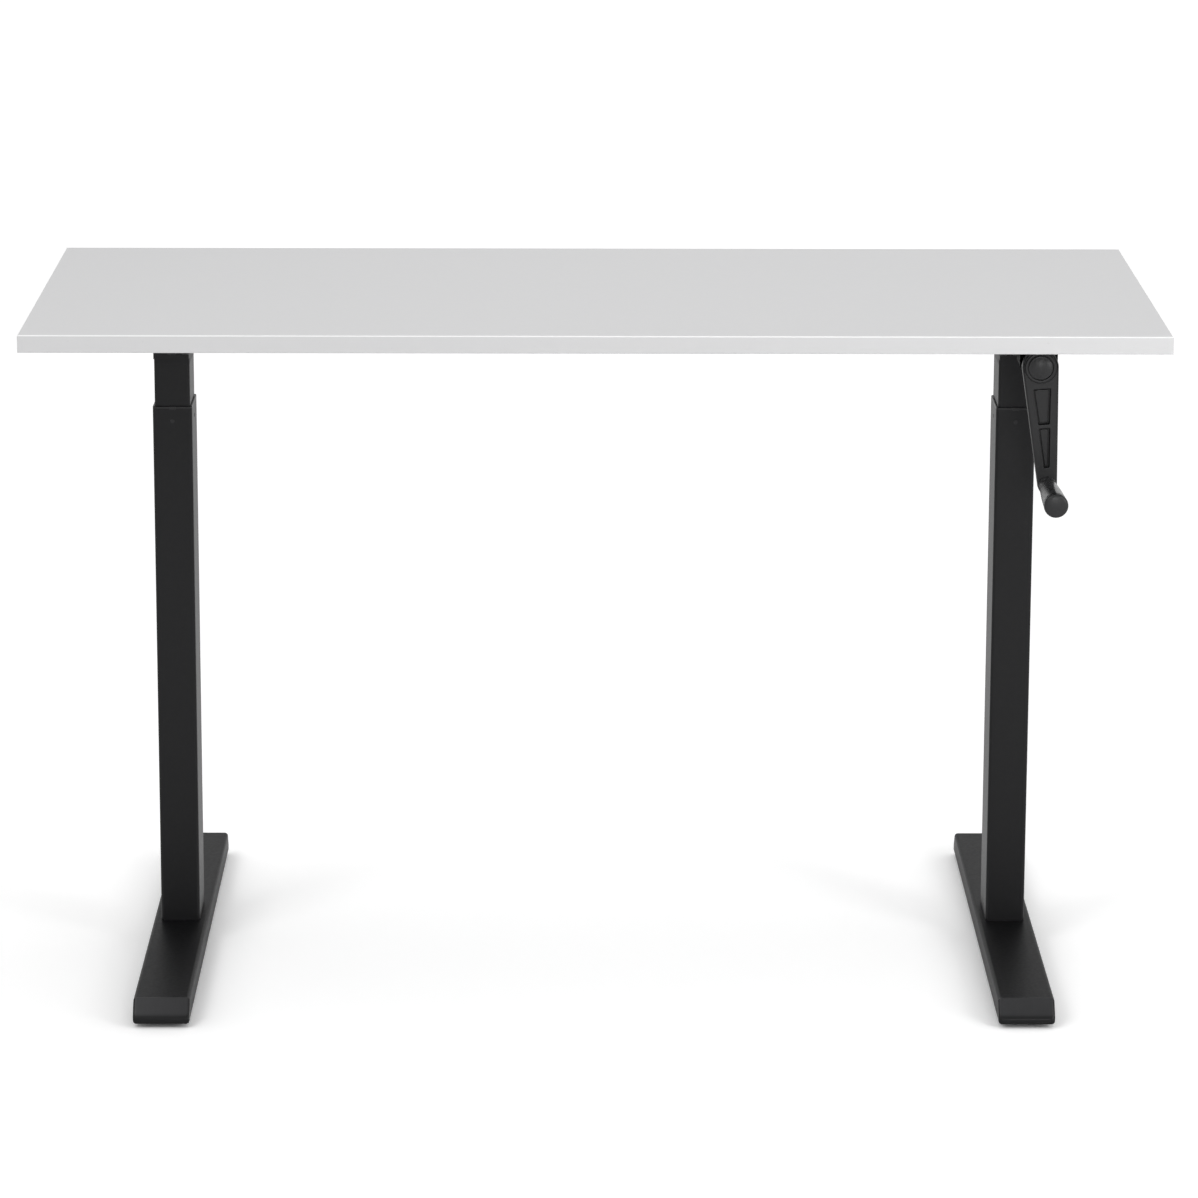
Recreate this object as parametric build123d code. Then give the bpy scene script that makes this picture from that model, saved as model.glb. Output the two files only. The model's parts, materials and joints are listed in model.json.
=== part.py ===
from build123d import *
import os
from math import cos, pi, sin, sqrt

# Height adjustable standing desk, raised and lowered with a hand crank.
# Frame: +X along the desk to the user's right, -Y towards the user, +Z up. The origin is on the
# floor, under the middle of the tabletop. Everything is in millimetres, with the desk at 860 high.

os.makedirs("parts", exist_ok=True)

# --- driving dimensions ---------------------------------------------------------------------
TOP_LENGTH = 1400.0  # tabletop, with its edge bands
TOP_DEPTH = 600.0
TOP_THICKNESS = 22.0
DESK_HEIGHT = 860.0  # top surface above the floor in the stored pose
BAND_THICKNESS = 2.0  # plastic band glued round the board's edge
BAND_ROUND = 1.5

LEG_INSET = 165.0  # from the top's end to a column's axis
OUTER_WIDTH = 50.0  # outer column tube, along X
OUTER_DEPTH = 80.0  # outer column tube, along Y
OUTER_WALL = 1.5
OUTER_CORNER = 4.0
COLUMN_DROP = 143.5  # from the top surface down to the top of the glide bush's rim
INNER_WIDTH = 45.0
INNER_DEPTH = 75.0
INNER_WALL = 2.0
INNER_CORNER = 3.5
INNER_BOTTOM = 190.0  # lower end of the inner tube in the stored pose
SLIDING_GAP = 0.3  # between two pieces that slide or turn on each other

FOOT_WIDTH = 70.0
FOOT_HEIGHT = 30.0
FOOT_TUBE_LENGTH = 690.0
FOOT_CAP_LENGTH = 17.0
FOOT_WALL = 2.0
FOOT_CORNER = 4.5
FLOOR_GAP = 5.0  # height of the levelling pads, so of the foot tube above the floor

SHAFT_DROP = 60.0  # from the top surface down to the cross shaft and the crank's axis
CRANK_OFFSET = 15.0  # from the right-hand column's axis outwards to the crank's
CRANK_INSET = 107.0  # from the top's front edge to the front face of the crank's arm, pushed home
CRANK_LENGTH = 150.0  # from the crank's axis to the knob's
CRANK_LEAN = 4.5  # degrees that the hanging arm leans outwards

GEAR_TEETH = 16
GEAR_PITCH_RADIUS = 13.0  # mitre gears, all alike


# --- shared shapes --------------------------------------------------------------------------
def block(x0, x1, y0, y1, z0, z1):
    """A box between two corners."""
    middle = ((x0 + x1) / 2, (y0 + y1) / 2, (z0 + z1) / 2)
    return Pos(*middle) * Box(x1 - x0, y1 - y0, z1 - z0)


def upright(width, depth, corner, z0, z1, x=0.0, y=0.0):
    """A rounded rectangle extruded upwards."""
    outline = RectangleRounded(width, depth, corner)
    return extrude(Pos(x, y, z0) * outline, z1 - z0)


def upright_tube(width, depth, corner, wall, z0, z1, x=0.0, y=0.0):
    """A rectangular tube standing on end."""
    outside = upright(width, depth, corner, z0, z1, x, y)
    inside_corner = max(corner - wall, 0.5)
    return outside - upright(width - 2 * wall, depth - 2 * wall, inside_corner, z0, z1, x, y)


def rod(radius, start, end):
    """A round bar between two points on a line parallel to an axis."""
    start, end = Vector(*start), Vector(*end)
    plane = Plane(start, z_dir=end - start)
    return extrude(plane * Circle(radius), (end - start).length)


def hex_bar(flats, start, end):
    """A hexagonal bar, its size across the flats."""
    start, end = Vector(*start), Vector(*end)
    plane = Plane(start, z_dir=end - start)
    return extrude(plane * RegularPolygon(flats / sqrt(3), 6), (end - start).length)


def save(name, shape):
    """Writes one piece to its own file."""
    shape.label = name
    export_step(shape, f"parts/{name}.step")


SIDES = {"left": -1, "right": 1}

# --- tabletop -------------------------------------------------------------------------------
UNDERSIDE = DESK_HEIGHT - TOP_THICKNESS
HALF_LENGTH = TOP_LENGTH / 2
HALF_DEPTH = TOP_DEPTH / 2
LEG_X = HALF_LENGTH - LEG_INSET
COLUMN_TOP = DESK_HEIGHT - COLUMN_DROP
SHAFT_Z = DESK_HEIGHT - SHAFT_DROP
CRANK_X = LEG_X + CRANK_OFFSET
CRANK_FACE_Y = CRANK_INSET - HALF_DEPTH
BOARD_HALF_LENGTH = HALF_LENGTH - BAND_THICKNESS
BOARD_HALF_DEPTH = HALF_DEPTH - BAND_THICKNESS
SCREW_PILOT = 1.8  # radius of a pilot hole in the board
SCREW_BITE = 14.0  # depth that a wood screw goes into the board

SCREW_HEAD = 4.5
SCREW_HEAD_HEIGHT = 3.0

GUIDE_WIDTH = 47.0  # crank guide, under the board near its front edge
GUIDE_DEPTH = 43.0
GUIDE_SETBACK = 25.0  # from the arm's front face back to the guide
GUIDE_SHOULDER = 15.0  # from the crank's axis down to the guide's underside
GUIDE_FRONT = CRANK_FACE_Y + GUIDE_SETBACK
GUIDE_BACK = GUIDE_FRONT + GUIDE_DEPTH
GUIDE_BOTTOM = SHAFT_Z - GUIDE_SHOULDER
GUIDE_FLANGE = 14.0
GUIDE_FLANGE_HEIGHT = 4.0
GUIDE_CHAMFER = 12.0
GUIDE_SCREW_INSET = 10.0
GUIDE_SCREWS = [
    (CRANK_X + side * (GUIDE_WIDTH / 2 + GUIDE_FLANGE / 2), y)
    for side in (-1, 1)
    for y in (GUIDE_FRONT + GUIDE_SCREW_INSET, GUIDE_BACK - GUIDE_SCREW_INSET)
]

BRACKET_CLEARANCE = 12.0  # from the crank guide back to the side brackets
BRACKET_INSET = 90.0  # from the top's rear edge to the side brackets
BRACKET_FRONT = GUIDE_BACK + BRACKET_CLEARANCE
BRACKET_REAR = HALF_DEPTH - BRACKET_INSET
BRACKET_WIDTH = 60.0
BRACKET_HEIGHT = 16.0
BRACKET_WALL = 2.5
BRACKET_SCREW_INSET = 15.0
BRACKET_SCREW_X = 18.0
BRACKET_SCREWS = [
    (dx, y)
    for dx in (-BRACKET_SCREW_X, BRACKET_SCREW_X)
    for y in (BRACKET_FRONT + BRACKET_SCREW_INSET, BRACKET_REAR - BRACKET_SCREW_INSET)
]


def bracket_screw_places():
    """Axes of the screws that hold the side brackets to the board."""
    return [(sign * LEG_X + dx, y) for sign in SIDES.values() for dx, y in BRACKET_SCREWS]


def tabletop_board():
    board = block(
        -BOARD_HALF_LENGTH, BOARD_HALF_LENGTH, -BOARD_HALF_DEPTH, BOARD_HALF_DEPTH,
        UNDERSIDE, DESK_HEIGHT,
    )
    for x, y in bracket_screw_places() + GUIDE_SCREWS:
        board -= rod(SCREW_PILOT, (x, y, UNDERSIDE), (x, y, UNDERSIDE + SCREW_BITE + 1.0))
    return board


def edge_band(along_x, sign):
    """One band: the long ones cover the ends of the short ones."""
    if along_x:
        inner, outer = sign * BOARD_HALF_DEPTH, sign * HALF_DEPTH
        band = block(-HALF_LENGTH, HALF_LENGTH, min(inner, outer), max(inner, outer), UNDERSIDE, DESK_HEIGHT)
        long_edges = band.edges().filter_by(Axis.X)
        outer_edges = [e for e in long_edges if abs(e.center().Y - outer) < 0.01]
    else:
        inner, outer = sign * BOARD_HALF_LENGTH, sign * HALF_LENGTH
        band = block(
            min(inner, outer), max(inner, outer), -BOARD_HALF_DEPTH, BOARD_HALF_DEPTH,
            UNDERSIDE, DESK_HEIGHT,
        )
        long_edges = band.edges().filter_by(Axis.Y)
        outer_edges = [e for e in long_edges if abs(e.center().X - outer) < 0.01]
    return fillet(outer_edges, BAND_ROUND)


save("tabletop_board", tabletop_board())
save("edge_band_front", edge_band(True, -1))
save("edge_band_rear", edge_band(True, 1))
save("edge_band_left", edge_band(False, -1))
save("edge_band_right", edge_band(False, 1))


def wood_screw(x, y, seat):
    """A pan-head screw, driven up into the board from a plate whose underside is at seat."""
    shank = rod(SCREW_PILOT, (x, y, seat), (x, y, UNDERSIDE + SCREW_BITE))
    head = rod(SCREW_HEAD, (x, y, seat - SCREW_HEAD_HEIGHT), (x, y, seat))
    head = fillet(head.edges().sort_by(Axis.Z)[0], 1.2)
    socket = hex_bar(3.0, (x, y, seat - SCREW_HEAD_HEIGHT), (x, y, seat - 1.2))
    return shank + head - socket


bracket_seat = UNDERSIDE - BRACKET_WALL
guide_seat = UNDERSIDE - GUIDE_FLANGE_HEIGHT
board_screws = [wood_screw(x, y, bracket_seat) for x, y in bracket_screw_places()]
board_screws += [wood_screw(x, y, guide_seat) for x, y in GUIDE_SCREWS]
save("board_screws", Compound(children=board_screws))

# --- legs: foot, outer tube and what stands in it -------------------------------------------
FOOT_TOP = FLOOR_GAP + FOOT_HEIGHT
FOOT_HALF = FOOT_TUBE_LENGTH / 2
CAP_SLOPE_FALL = 22.0  # height lost over an end cap's sloping face
CAP_PLUG_LENGTH = 18.0
CAP_PLUG_SIDE = 7.0  # from the foot's outside to the plug's hollow
CAP_PLUG_FLOOR = 5.0
CAP_PLUG_WEB = 3.0
LEVELLER_INSET = 38.0  # from the foot tube's ends to the levelling feet
LEVELLER_Y = FOOT_HALF - LEVELLER_INSET
LEVELLER_STUD = 4.0
LEVELLER_PAD = 17.0
INSERT_RADIUS = 6.5
INSERT_HEIGHT = 12.0
INSERT_FLANGE = 9.0

BASE_PLATE_HEIGHT = 6.0
FOOT_BOLTS = [(dx, dy) for dx in (-13.0, 13.0) for dy in (-27.0, 27.0)]
FOOT_BOLT = 4.0  # shank radius
FOOT_BOLT_HOLE = FOOT_BOLT + 0.5
FOOT_BOLT_HEAD = 6.5
FOOT_BOLT_HEAD_HEIGHT = 5.0
ACCESS_HOLE = 9.0  # in the foot's floor, for the bolts and the key

RISER_OUTER = 14.0
RISER_INNER = 11.0
NUT_BOTTOM = 500.0
NUT_HEIGHT = 28.0
NUT_TOP = NUT_BOTTOM + NUT_HEIGHT
NUT_SPIGOT = 12.0
NUT_FLATS = 24.0
NUT_FLANGE = 17.0
NUT_FLANGE_HEIGHT = 6.0
SCREW_RADIUS = 7.0
SCREW_BOTTOM = 115.0

BUSH_RIM = 2.5  # the part of the glide bush that is seen
BUSH_RIM_ROUND = 0.8
BUSH_DEPTH = 60.0
TAB_WIDTH = 8.0
TAB_HEIGHT = 4.0
TAB_THICKNESS = 0.7
SNAP_RADIUS = 2.5  # the bush's pips click into holes in the tube
SNAP_DROP = 19.0  # below the top of the column
SNAP_PROUD = 0.4
BUSH_CORNER = 3.0
OUTER_TOP = COLUMN_TOP - BUSH_RIM
CHANNEL_WIDTH = OUTER_WIDTH - 2 * OUTER_WALL  # inside the outer tube
CHANNEL_DEPTH = OUTER_DEPTH - 2 * OUTER_WALL
BORE_WIDTH = INNER_WIDTH + 2 * SLIDING_GAP  # inside the glide bush
BORE_DEPTH = INNER_DEPTH + 2 * SLIDING_GAP


def foot_tube(x):
    """Rectangular tube lying front to back, with holes for the bolts and the levelling feet."""
    outline = Rot(90, 0, 0) * RectangleRounded(FOOT_WIDTH, FOOT_HEIGHT, FOOT_CORNER)
    hollow = Rot(90, 0, 0) * RectangleRounded(
        FOOT_WIDTH - 2 * FOOT_WALL, FOOT_HEIGHT - 2 * FOOT_WALL, FOOT_CORNER - FOOT_WALL
    )
    place = Pos(x, FOOT_HALF, FLOOR_GAP + FOOT_HEIGHT / 2)
    tube = extrude(place * outline, FOOT_TUBE_LENGTH, dir=(0, -1, 0))
    tube -= extrude(place * hollow, FOOT_TUBE_LENGTH, dir=(0, -1, 0))
    for dx, dy in FOOT_BOLTS:
        tube -= rod(FOOT_BOLT_HOLE, (x + dx, dy, FOOT_TOP - FOOT_WALL - 1), (x + dx, dy, FOOT_TOP + 1))
        tube -= rod(ACCESS_HOLE, (x + dx, dy, 0), (x + dx, dy, FLOOR_GAP + FOOT_WALL + 1))
    for y in (-LEVELLER_Y, LEVELLER_Y):
        tube -= rod(INSERT_RADIUS, (x, y, 0), (x, y, FLOOR_GAP + FOOT_WALL + 1))
    return tube


def foot_cap(x, sign):
    """Wedge-shaped plastic end cap: a sloping face over a short upright nose, and a plug."""
    seam, nose = FOOT_HALF, FOOT_HALF + FOOT_CAP_LENGTH
    nose_top = FOOT_TOP - CAP_SLOPE_FALL
    profile = Polyline(
        (seam, FLOOR_GAP), (nose, FLOOR_GAP), (nose, nose_top), (nose - 2.0, nose_top + 3.5),
        (seam + 1.0, FOOT_TOP), (seam, FOOT_TOP), close=True,
    )
    plane = Plane(origin=(x - FOOT_WIDTH / 2, 0, 0), x_dir=(0, 1, 0), z_dir=(1, 0, 0))
    wedge = extrude(plane * make_face(profile), FOOT_WIDTH)
    lower = wedge.edges().filter_by(Axis.Z).sort_by(Axis.Y)[-2:]
    wedge = fillet(lower, 4.0)
    sides = [
        e for e in wedge.edges()
        if abs(abs(e.center().X - x) - FOOT_WIDTH / 2) < 0.01
        and seam + 0.5 < e.center().Y and e.center().Z > nose_top
    ]
    wedge = chamfer(sides, 1.2)
    plug = block(
        x - FOOT_WIDTH / 2 + FOOT_WALL + SLIDING_GAP, x + FOOT_WIDTH / 2 - FOOT_WALL - SLIDING_GAP,
        seam - CAP_PLUG_LENGTH, seam, FLOOR_GAP + FOOT_WALL + SLIDING_GAP, FOOT_TOP - FOOT_WALL - SLIDING_GAP,
    )
    plug = fillet(plug.edges().filter_by(Axis.Y), FOOT_CORNER - FOOT_WALL)
    hollow_half = FOOT_WIDTH / 2 - CAP_PLUG_SIDE
    plug -= block(
        x - hollow_half, x + hollow_half, seam - CAP_PLUG_LENGTH - 1, seam - CAP_PLUG_WEB,
        FLOOR_GAP + CAP_PLUG_FLOOR, FOOT_TOP - CAP_PLUG_FLOOR,
    )
    cap = wedge + plug
    return cap if sign > 0 else mirror(cap, Plane.XZ)


def outer_tube(x, inward):
    """Lower, wider column tube, with the holes that the glide bush's pips sit in."""
    tube = upright_tube(OUTER_WIDTH, OUTER_DEPTH, OUTER_CORNER, OUTER_WALL, FOOT_TOP, OUTER_TOP, x)
    pip_z = COLUMN_TOP - SNAP_DROP
    tube -= rod(SNAP_RADIUS, (x, -OUTER_DEPTH, pip_z), (x, OUTER_DEPTH, pip_z))
    tube -= rod(SNAP_RADIUS, (x, 0, pip_z), (x + inward * OUTER_WIDTH, 0, pip_z))
    return tube


def glide_bush(x, inward):
    """Plastic liner between the tubes: a rim on the outer tube, hooks and pips, and the liner."""
    bush = upright(OUTER_WIDTH, OUTER_DEPTH, OUTER_CORNER, OUTER_TOP, COLUMN_TOP, x)
    bush = fillet(bush.edges().group_by(Axis.Z)[-1], BUSH_RIM_ROUND)
    bush += upright(CHANNEL_WIDTH, CHANNEL_DEPTH, BUSH_CORNER, OUTER_TOP - BUSH_DEPTH, OUTER_TOP, x)
    pip_z = COLUMN_TOP - SNAP_DROP
    reach_x, reach_y = OUTER_WIDTH / 2 + SNAP_PROUD, OUTER_DEPTH / 2 + SNAP_PROUD
    bush += rod(SNAP_RADIUS, (x, -reach_y, pip_z), (x, reach_y, pip_z))
    bush += rod(SNAP_RADIUS, (x, 0, pip_z), (x + inward * reach_x, 0, pip_z))
    tab_bottom = COLUMN_TOP - TAB_HEIGHT
    for sign in (-1, 1):
        front = sign * (OUTER_DEPTH / 2 + TAB_THICKNESS)
        inner = sign * OUTER_DEPTH / 2
        bush += block(
            x - TAB_WIDTH / 2, x + TAB_WIDTH / 2, min(front, inner), max(front, inner),
            tab_bottom, COLUMN_TOP,
        )
    bore = upright(BORE_WIDTH, BORE_DEPTH, BUSH_CORNER, OUTER_TOP - BUSH_DEPTH - 1, COLUMN_TOP + 1, x)
    return bush - bore


def riser(x):
    """Base plate bolted to the foot, and the tube that holds the nut up in the column."""
    plate_top = FOOT_TOP + BASE_PLATE_HEIGHT
    plate = upright(
        CHANNEL_WIDTH - 2 * SLIDING_GAP, CHANNEL_DEPTH - 2 * SLIDING_GAP, BUSH_CORNER,
        FOOT_TOP, plate_top, x,
    )
    for dx, dy in FOOT_BOLTS:
        plate -= rod(FOOT_BOLT, (x + dx, dy, FOOT_TOP - 1), (x + dx, dy, plate_top + 1))
    tube = rod(RISER_OUTER, (x, 0, plate_top), (x, 0, NUT_BOTTOM))
    collar = Pos(x, 0, plate_top) * Cone(RISER_OUTER + 3.0, RISER_OUTER, 3.0, align=(Align.CENTER, Align.CENTER, Align.MIN))
    hollow = rod(RISER_INNER, (x, 0, plate_top), (x, 0, NUT_BOTTOM))
    return plate + (tube + collar - hollow)


def lift_nut(x):
    """Flanged nut on top of the riser, with its spigot inside the tube."""
    nut = rod(NUT_FLANGE, (x, 0, NUT_BOTTOM), (x, 0, NUT_BOTTOM + NUT_FLANGE_HEIGHT))
    nut += hex_bar(NUT_FLATS, (x, 0, NUT_BOTTOM + NUT_FLANGE_HEIGHT), (x, 0, NUT_TOP))
    nut += rod(RISER_INNER, (x, 0, NUT_BOTTOM - NUT_SPIGOT), (x, 0, NUT_BOTTOM))
    return nut - rod(SCREW_RADIUS + SLIDING_GAP, (x, 0, NUT_BOTTOM - 20), (x, 0, NUT_TOP + 5))


def foot_bolt(x, y):
    """Button-head bolt, up through the foot's top wall into the base plate."""
    seat = FOOT_TOP - FOOT_WALL
    bolt = rod(FOOT_BOLT, (x, y, seat), (x, y, FOOT_TOP + BASE_PLATE_HEIGHT - 0.5))
    head = rod(FOOT_BOLT_HEAD, (x, y, seat - FOOT_BOLT_HEAD_HEIGHT), (x, y, seat))
    head = fillet(head.edges().sort_by(Axis.Z)[0], 1.5)
    return bolt + head - hex_bar(5.0, (x, y, seat - FOOT_BOLT_HEAD_HEIGHT), (x, y, seat - 2.0))


def foot_insert(x, y):
    """Threaded insert for a levelling foot, its flange on the foot's floor."""
    floor_bottom = FLOOR_GAP
    insert = rod(INSERT_RADIUS, (x, y, floor_bottom), (x, y, floor_bottom + INSERT_HEIGHT))
    insert += rod(INSERT_FLANGE, (x, y, floor_bottom + FOOT_WALL), (x, y, floor_bottom + FOOT_WALL + 1.5))
    return insert - rod(LEVELLER_STUD + SLIDING_GAP, (x, y, 0), (x, y, floor_bottom + INSERT_HEIGHT + 1))


def leveller(x, y):
    """Levelling foot, screwed right in: a round pad with a stud."""
    pad = rod(LEVELLER_PAD, (x, y, 0), (x, y, FLOOR_GAP - SLIDING_GAP))
    pad = fillet(pad.edges().sort_by(Axis.Z)[0], 1.5)
    return pad + rod(LEVELLER_STUD, (x, y, 1.0), (x, y, FLOOR_GAP + INSERT_HEIGHT + 8.0))


for side, sign in SIDES.items():
    x = sign * LEG_X
    save(f"{side}_foot_tube", foot_tube(x))
    save(f"{side}_foot_cap_front", foot_cap(x, -1))
    save(f"{side}_foot_cap_rear", foot_cap(x, 1))
    save(f"{side}_outer_tube", outer_tube(x, -sign))
    save(f"{side}_glide_bush", glide_bush(x, -sign))
    save(f"{side}_riser", riser(x))
    save(f"{side}_lift_nut", lift_nut(x))
    save(f"{side}_foot_bolts", Compound(children=[foot_bolt(x + dx, dy) for dx, dy in FOOT_BOLTS]))
    inserts = [foot_insert(x, y) for y in (-LEVELLER_Y, LEVELLER_Y)]
    save(f"{side}_foot_inserts", Compound(children=inserts))
    save(f"{side}_front_leveller", leveller(x, -LEVELLER_Y))
    save(f"{side}_rear_leveller", leveller(x, LEVELLER_Y))

# --- top frame: inner tubes, brackets, rails and gear housings ------------------------------
CAVITY_HALF = 18.0  # hollow of a gear housing, from the gears' axes
HOUSING_FLOOR = 3.0
NECK_HEIGHT = 8.0  # foot of a gear housing, between it and the inner tube
CAVITY_FLOOR = SHAFT_Z - CAVITY_HALF
HOUSING_BOTTOM = CAVITY_FLOOR - HOUSING_FLOOR
INNER_TOP = HOUSING_BOTTOM - NECK_HEIGHT
GLIDE_RING_HEIGHT = 8.0
GLIDE_PLUG_HEIGHT = 20.0
RAIL_Y = 60.0
RAIL_WIDTH = 25.0
RAIL_HEIGHT = 30.0
RAIL_WALL = 2.0
RAIL_OVERHANG = 5.0  # from a column's axis outwards to the rails' ends
RAIL_HALF = LEG_X + RAIL_OVERHANG
RAIL_TOP = UNDERSIDE - BRACKET_HEIGHT
RAIL_BOTTOM = RAIL_TOP - RAIL_HEIGHT
RAIL_INNER_Y = RAIL_Y - RAIL_WIDTH / 2
RAIL_OUTER_Y = RAIL_Y + RAIL_WIDTH / 2
SADDLE_HEIGHT = 4.0  # plate across a bracket that a rail is bolted to
FRAME_BOLT = 3.0
FRAME_BOLT_HOLE = 3.3
FRAME_BOLT_INBOARD = (2.0, 20.0)  # from a column's axis towards the middle of the desk
FRAME_BOLT_HEAD = 5.5
FRAME_BOLT_HEAD_HEIGHT = 3.5
FRAME_NUT_FLATS = 10.0
FRAME_NUT_HEIGHT = 5.0
FRAME_BOLTS = [
    (side * (LEG_X - inboard), end * RAIL_Y)
    for side in (-1, 1)
    for end in (-1, 1)
    for inboard in FRAME_BOLT_INBOARD
]

COVER_THICKNESS = 3.0
HOUSING_TOP = bracket_seat - COVER_THICKNESS
HOUSING_REACH = INNER_WIDTH / 2  # the housing is as wide as the tube that it stands on
HOUSING_WALL = 6.0
INPUT_REACH = 34.0  # from the crank's axis to the outboard end of the right-hand housing
INPUT_END_WALL = 5.0
INPUT_FRONT_WALL = 11.5  # the wall that the crank's tube comes through
INPUT_WALL_Y = INPUT_FRONT_WALL - RAIL_INNER_Y
HOUSING_END = CRANK_X + INPUT_REACH
HOUSING_ROUND = 3.0
HUB_RADIUS = 9.0
HEX_SHAFT = 10.0  # across the flats
BUSH_BORE = HUB_RADIUS + SLIDING_GAP
BUSH_OUTER = 12.0
PASSAGE = 7.5  # plain hole that the hexagonal shaft passes through


def inner_tube(x):
    return upright_tube(INNER_WIDTH, INNER_DEPTH, INNER_CORNER, INNER_WALL, INNER_BOTTOM, INNER_TOP, x)


def lower_glide(x):
    """Plastic ring on the inner tube's lower end, running in the outer tube."""
    width, depth = CHANNEL_WIDTH - 2 * SLIDING_GAP, CHANNEL_DEPTH - 2 * SLIDING_GAP
    ring = upright(width, depth, BUSH_CORNER, INNER_BOTTOM - GLIDE_RING_HEIGHT, INNER_BOTTOM, x)
    inside = (INNER_WIDTH - 2 * INNER_WALL, INNER_DEPTH - 2 * INNER_WALL)
    plug_top = INNER_BOTTOM + GLIDE_PLUG_HEIGHT
    ring += upright(*inside, 1.5, INNER_BOTTOM, plug_top, x)
    hole = upright(inside[0] - 5.0, inside[1] - 5.0, 3.0, INNER_BOTTOM - 20.0, plug_top + 1.0, x)
    return ring - hole


def side_bracket(x):
    """Inverted channel that carries the board, notched over the gear housing."""
    half = BRACKET_WIDTH / 2
    bracket = block(x - half, x + half, BRACKET_FRONT, BRACKET_REAR, RAIL_TOP, UNDERSIDE)
    bracket = fillet(bracket.edges().filter_by(Axis.Y).sort_by(Axis.Z)[-2:], 1.5)
    inner = half - BRACKET_WALL
    bracket -= block(
        x - inner, x + inner, BRACKET_FRONT - 1, BRACKET_REAR + 1, RAIL_TOP - 1, UNDERSIDE - BRACKET_WALL
    )
    notch = RAIL_INNER_Y
    bracket -= block(x - half - 1, x + half + 1, -notch, notch, RAIL_TOP - 1, UNDERSIDE - BRACKET_WALL)
    for end in (-1, 1):
        low, high = sorted((end * RAIL_INNER_Y, end * RAIL_OUTER_Y))
        bracket += block(x - inner, x + inner, low, high, RAIL_TOP, RAIL_TOP + SADDLE_HEIGHT)
    for bolt_x, bolt_y in FRAME_BOLTS:
        if abs(bolt_x - x) < half:
            bracket -= rod(FRAME_BOLT_HOLE, (bolt_x, bolt_y, RAIL_TOP - 1), (bolt_x, bolt_y, RAIL_TOP + 6))
    for dx, y in BRACKET_SCREWS:
        bracket -= rod(SCREW_PILOT + 0.5, (x + dx, y, UNDERSIDE - 5), (x + dx, y, UNDERSIDE + 1))
    return bracket


def rail(end):
    """Rectangular tube that joins the columns, in front of or behind the gear housings."""
    y = end * RAIL_Y
    half = RAIL_WIDTH / 2
    tube = block(-RAIL_HALF, RAIL_HALF, y - half, y + half, RAIL_BOTTOM, RAIL_TOP)
    tube = fillet(tube.edges().filter_by(Axis.X), 2.5)
    inner = half - RAIL_WALL
    tube -= block(
        -RAIL_HALF - 1, RAIL_HALF + 1, y - inner, y + inner, RAIL_BOTTOM + RAIL_WALL, RAIL_TOP - RAIL_WALL
    )
    for bolt_x, bolt_y in FRAME_BOLTS:
        if bolt_y * end > 0:
            tube -= rod(FRAME_BOLT_HOLE, (bolt_x, bolt_y, RAIL_BOTTOM - 1), (bolt_x, bolt_y, RAIL_TOP + 1))
    return tube


def frame_bolt(x, y):
    """Bolt with its nut, up through a rail and a bracket's saddle plate."""
    saddle_top = RAIL_TOP + SADDLE_HEIGHT
    head_bottom = RAIL_BOTTOM - FRAME_BOLT_HEAD_HEIGHT
    nut_top = saddle_top + FRAME_NUT_HEIGHT
    bolt = rod(FRAME_BOLT, (x, y, RAIL_BOTTOM), (x, y, nut_top + 1.0))
    head = rod(FRAME_BOLT_HEAD, (x, y, head_bottom), (x, y, RAIL_BOTTOM))
    head = fillet(head.edges().sort_by(Axis.Z)[0], 1.5)
    nut = hex_bar(FRAME_NUT_FLATS, (x, y, saddle_top), (x, y, nut_top))
    return bolt + head + nut - hex_bar(4.0, (x, y, head_bottom), (x, y, RAIL_BOTTOM - 1.2))


def gear_housing(sign):
    """Cast housing on top of a column. The right-hand one is longer and takes the crank's gear."""
    x = sign * LEG_X
    right = sign > 0
    x0 = x - HOUSING_REACH
    x1 = HOUSING_END if right else x + HOUSING_REACH
    body = block(x0, x1, -RAIL_INNER_Y, RAIL_INNER_Y, HOUSING_BOTTOM, HOUSING_TOP)
    body = fillet(body.edges().filter_by(Axis.Z), HOUSING_ROUND)
    body += upright(INNER_WIDTH, INNER_DEPTH, INNER_CORNER, INNER_TOP, HOUSING_BOTTOM, x)
    cavity_end = HOUSING_END - INPUT_END_WALL if right else x1 - HOUSING_WALL
    body -= block(x0 + HOUSING_WALL, cavity_end, -CAVITY_HALF, CAVITY_HALF, CAVITY_FLOOR, HOUSING_TOP)
    body -= rod(BUSH_OUTER, (x, 0, INNER_TOP - 1), (x, 0, CAVITY_FLOOR + 1))
    bush_end, plain_end = (x0, x1)
    if right:
        reach = CAVITY_HALF - 2.0
        body -= block(
            CRANK_X - reach, CRANK_X + reach, INPUT_WALL_Y, -CAVITY_HALF, CAVITY_FLOOR, HOUSING_TOP
        )
        body -= rod(BUSH_OUTER, (CRANK_X, -RAIL_INNER_Y - 1, SHAFT_Z), (CRANK_X, INPUT_WALL_Y + 1, SHAFT_Z))
        body -= rod(BUSH_OUTER, (cavity_end - 1, 0, SHAFT_Z), (x1 + 1, 0, SHAFT_Z))
    else:
        body -= rod(PASSAGE, (plain_end - HOUSING_WALL - 1, 0, SHAFT_Z), (plain_end + 1, 0, SHAFT_Z))
    body -= rod(BUSH_OUTER, (bush_end - 1, 0, SHAFT_Z), (bush_end + HOUSING_WALL + 1, 0, SHAFT_Z))
    return body


def housing_cover(sign):
    """Plate that closes a housing from above, held between it and the bracket."""
    x = sign * LEG_X
    x1 = HOUSING_END if sign > 0 else x + HOUSING_REACH
    cover = block(
        x - HOUSING_REACH, x1, -RAIL_INNER_Y, RAIL_INNER_Y, HOUSING_TOP, UNDERSIDE - BRACKET_WALL
    )
    return fillet(cover.edges().filter_by(Axis.Z), HOUSING_ROUND)


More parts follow.
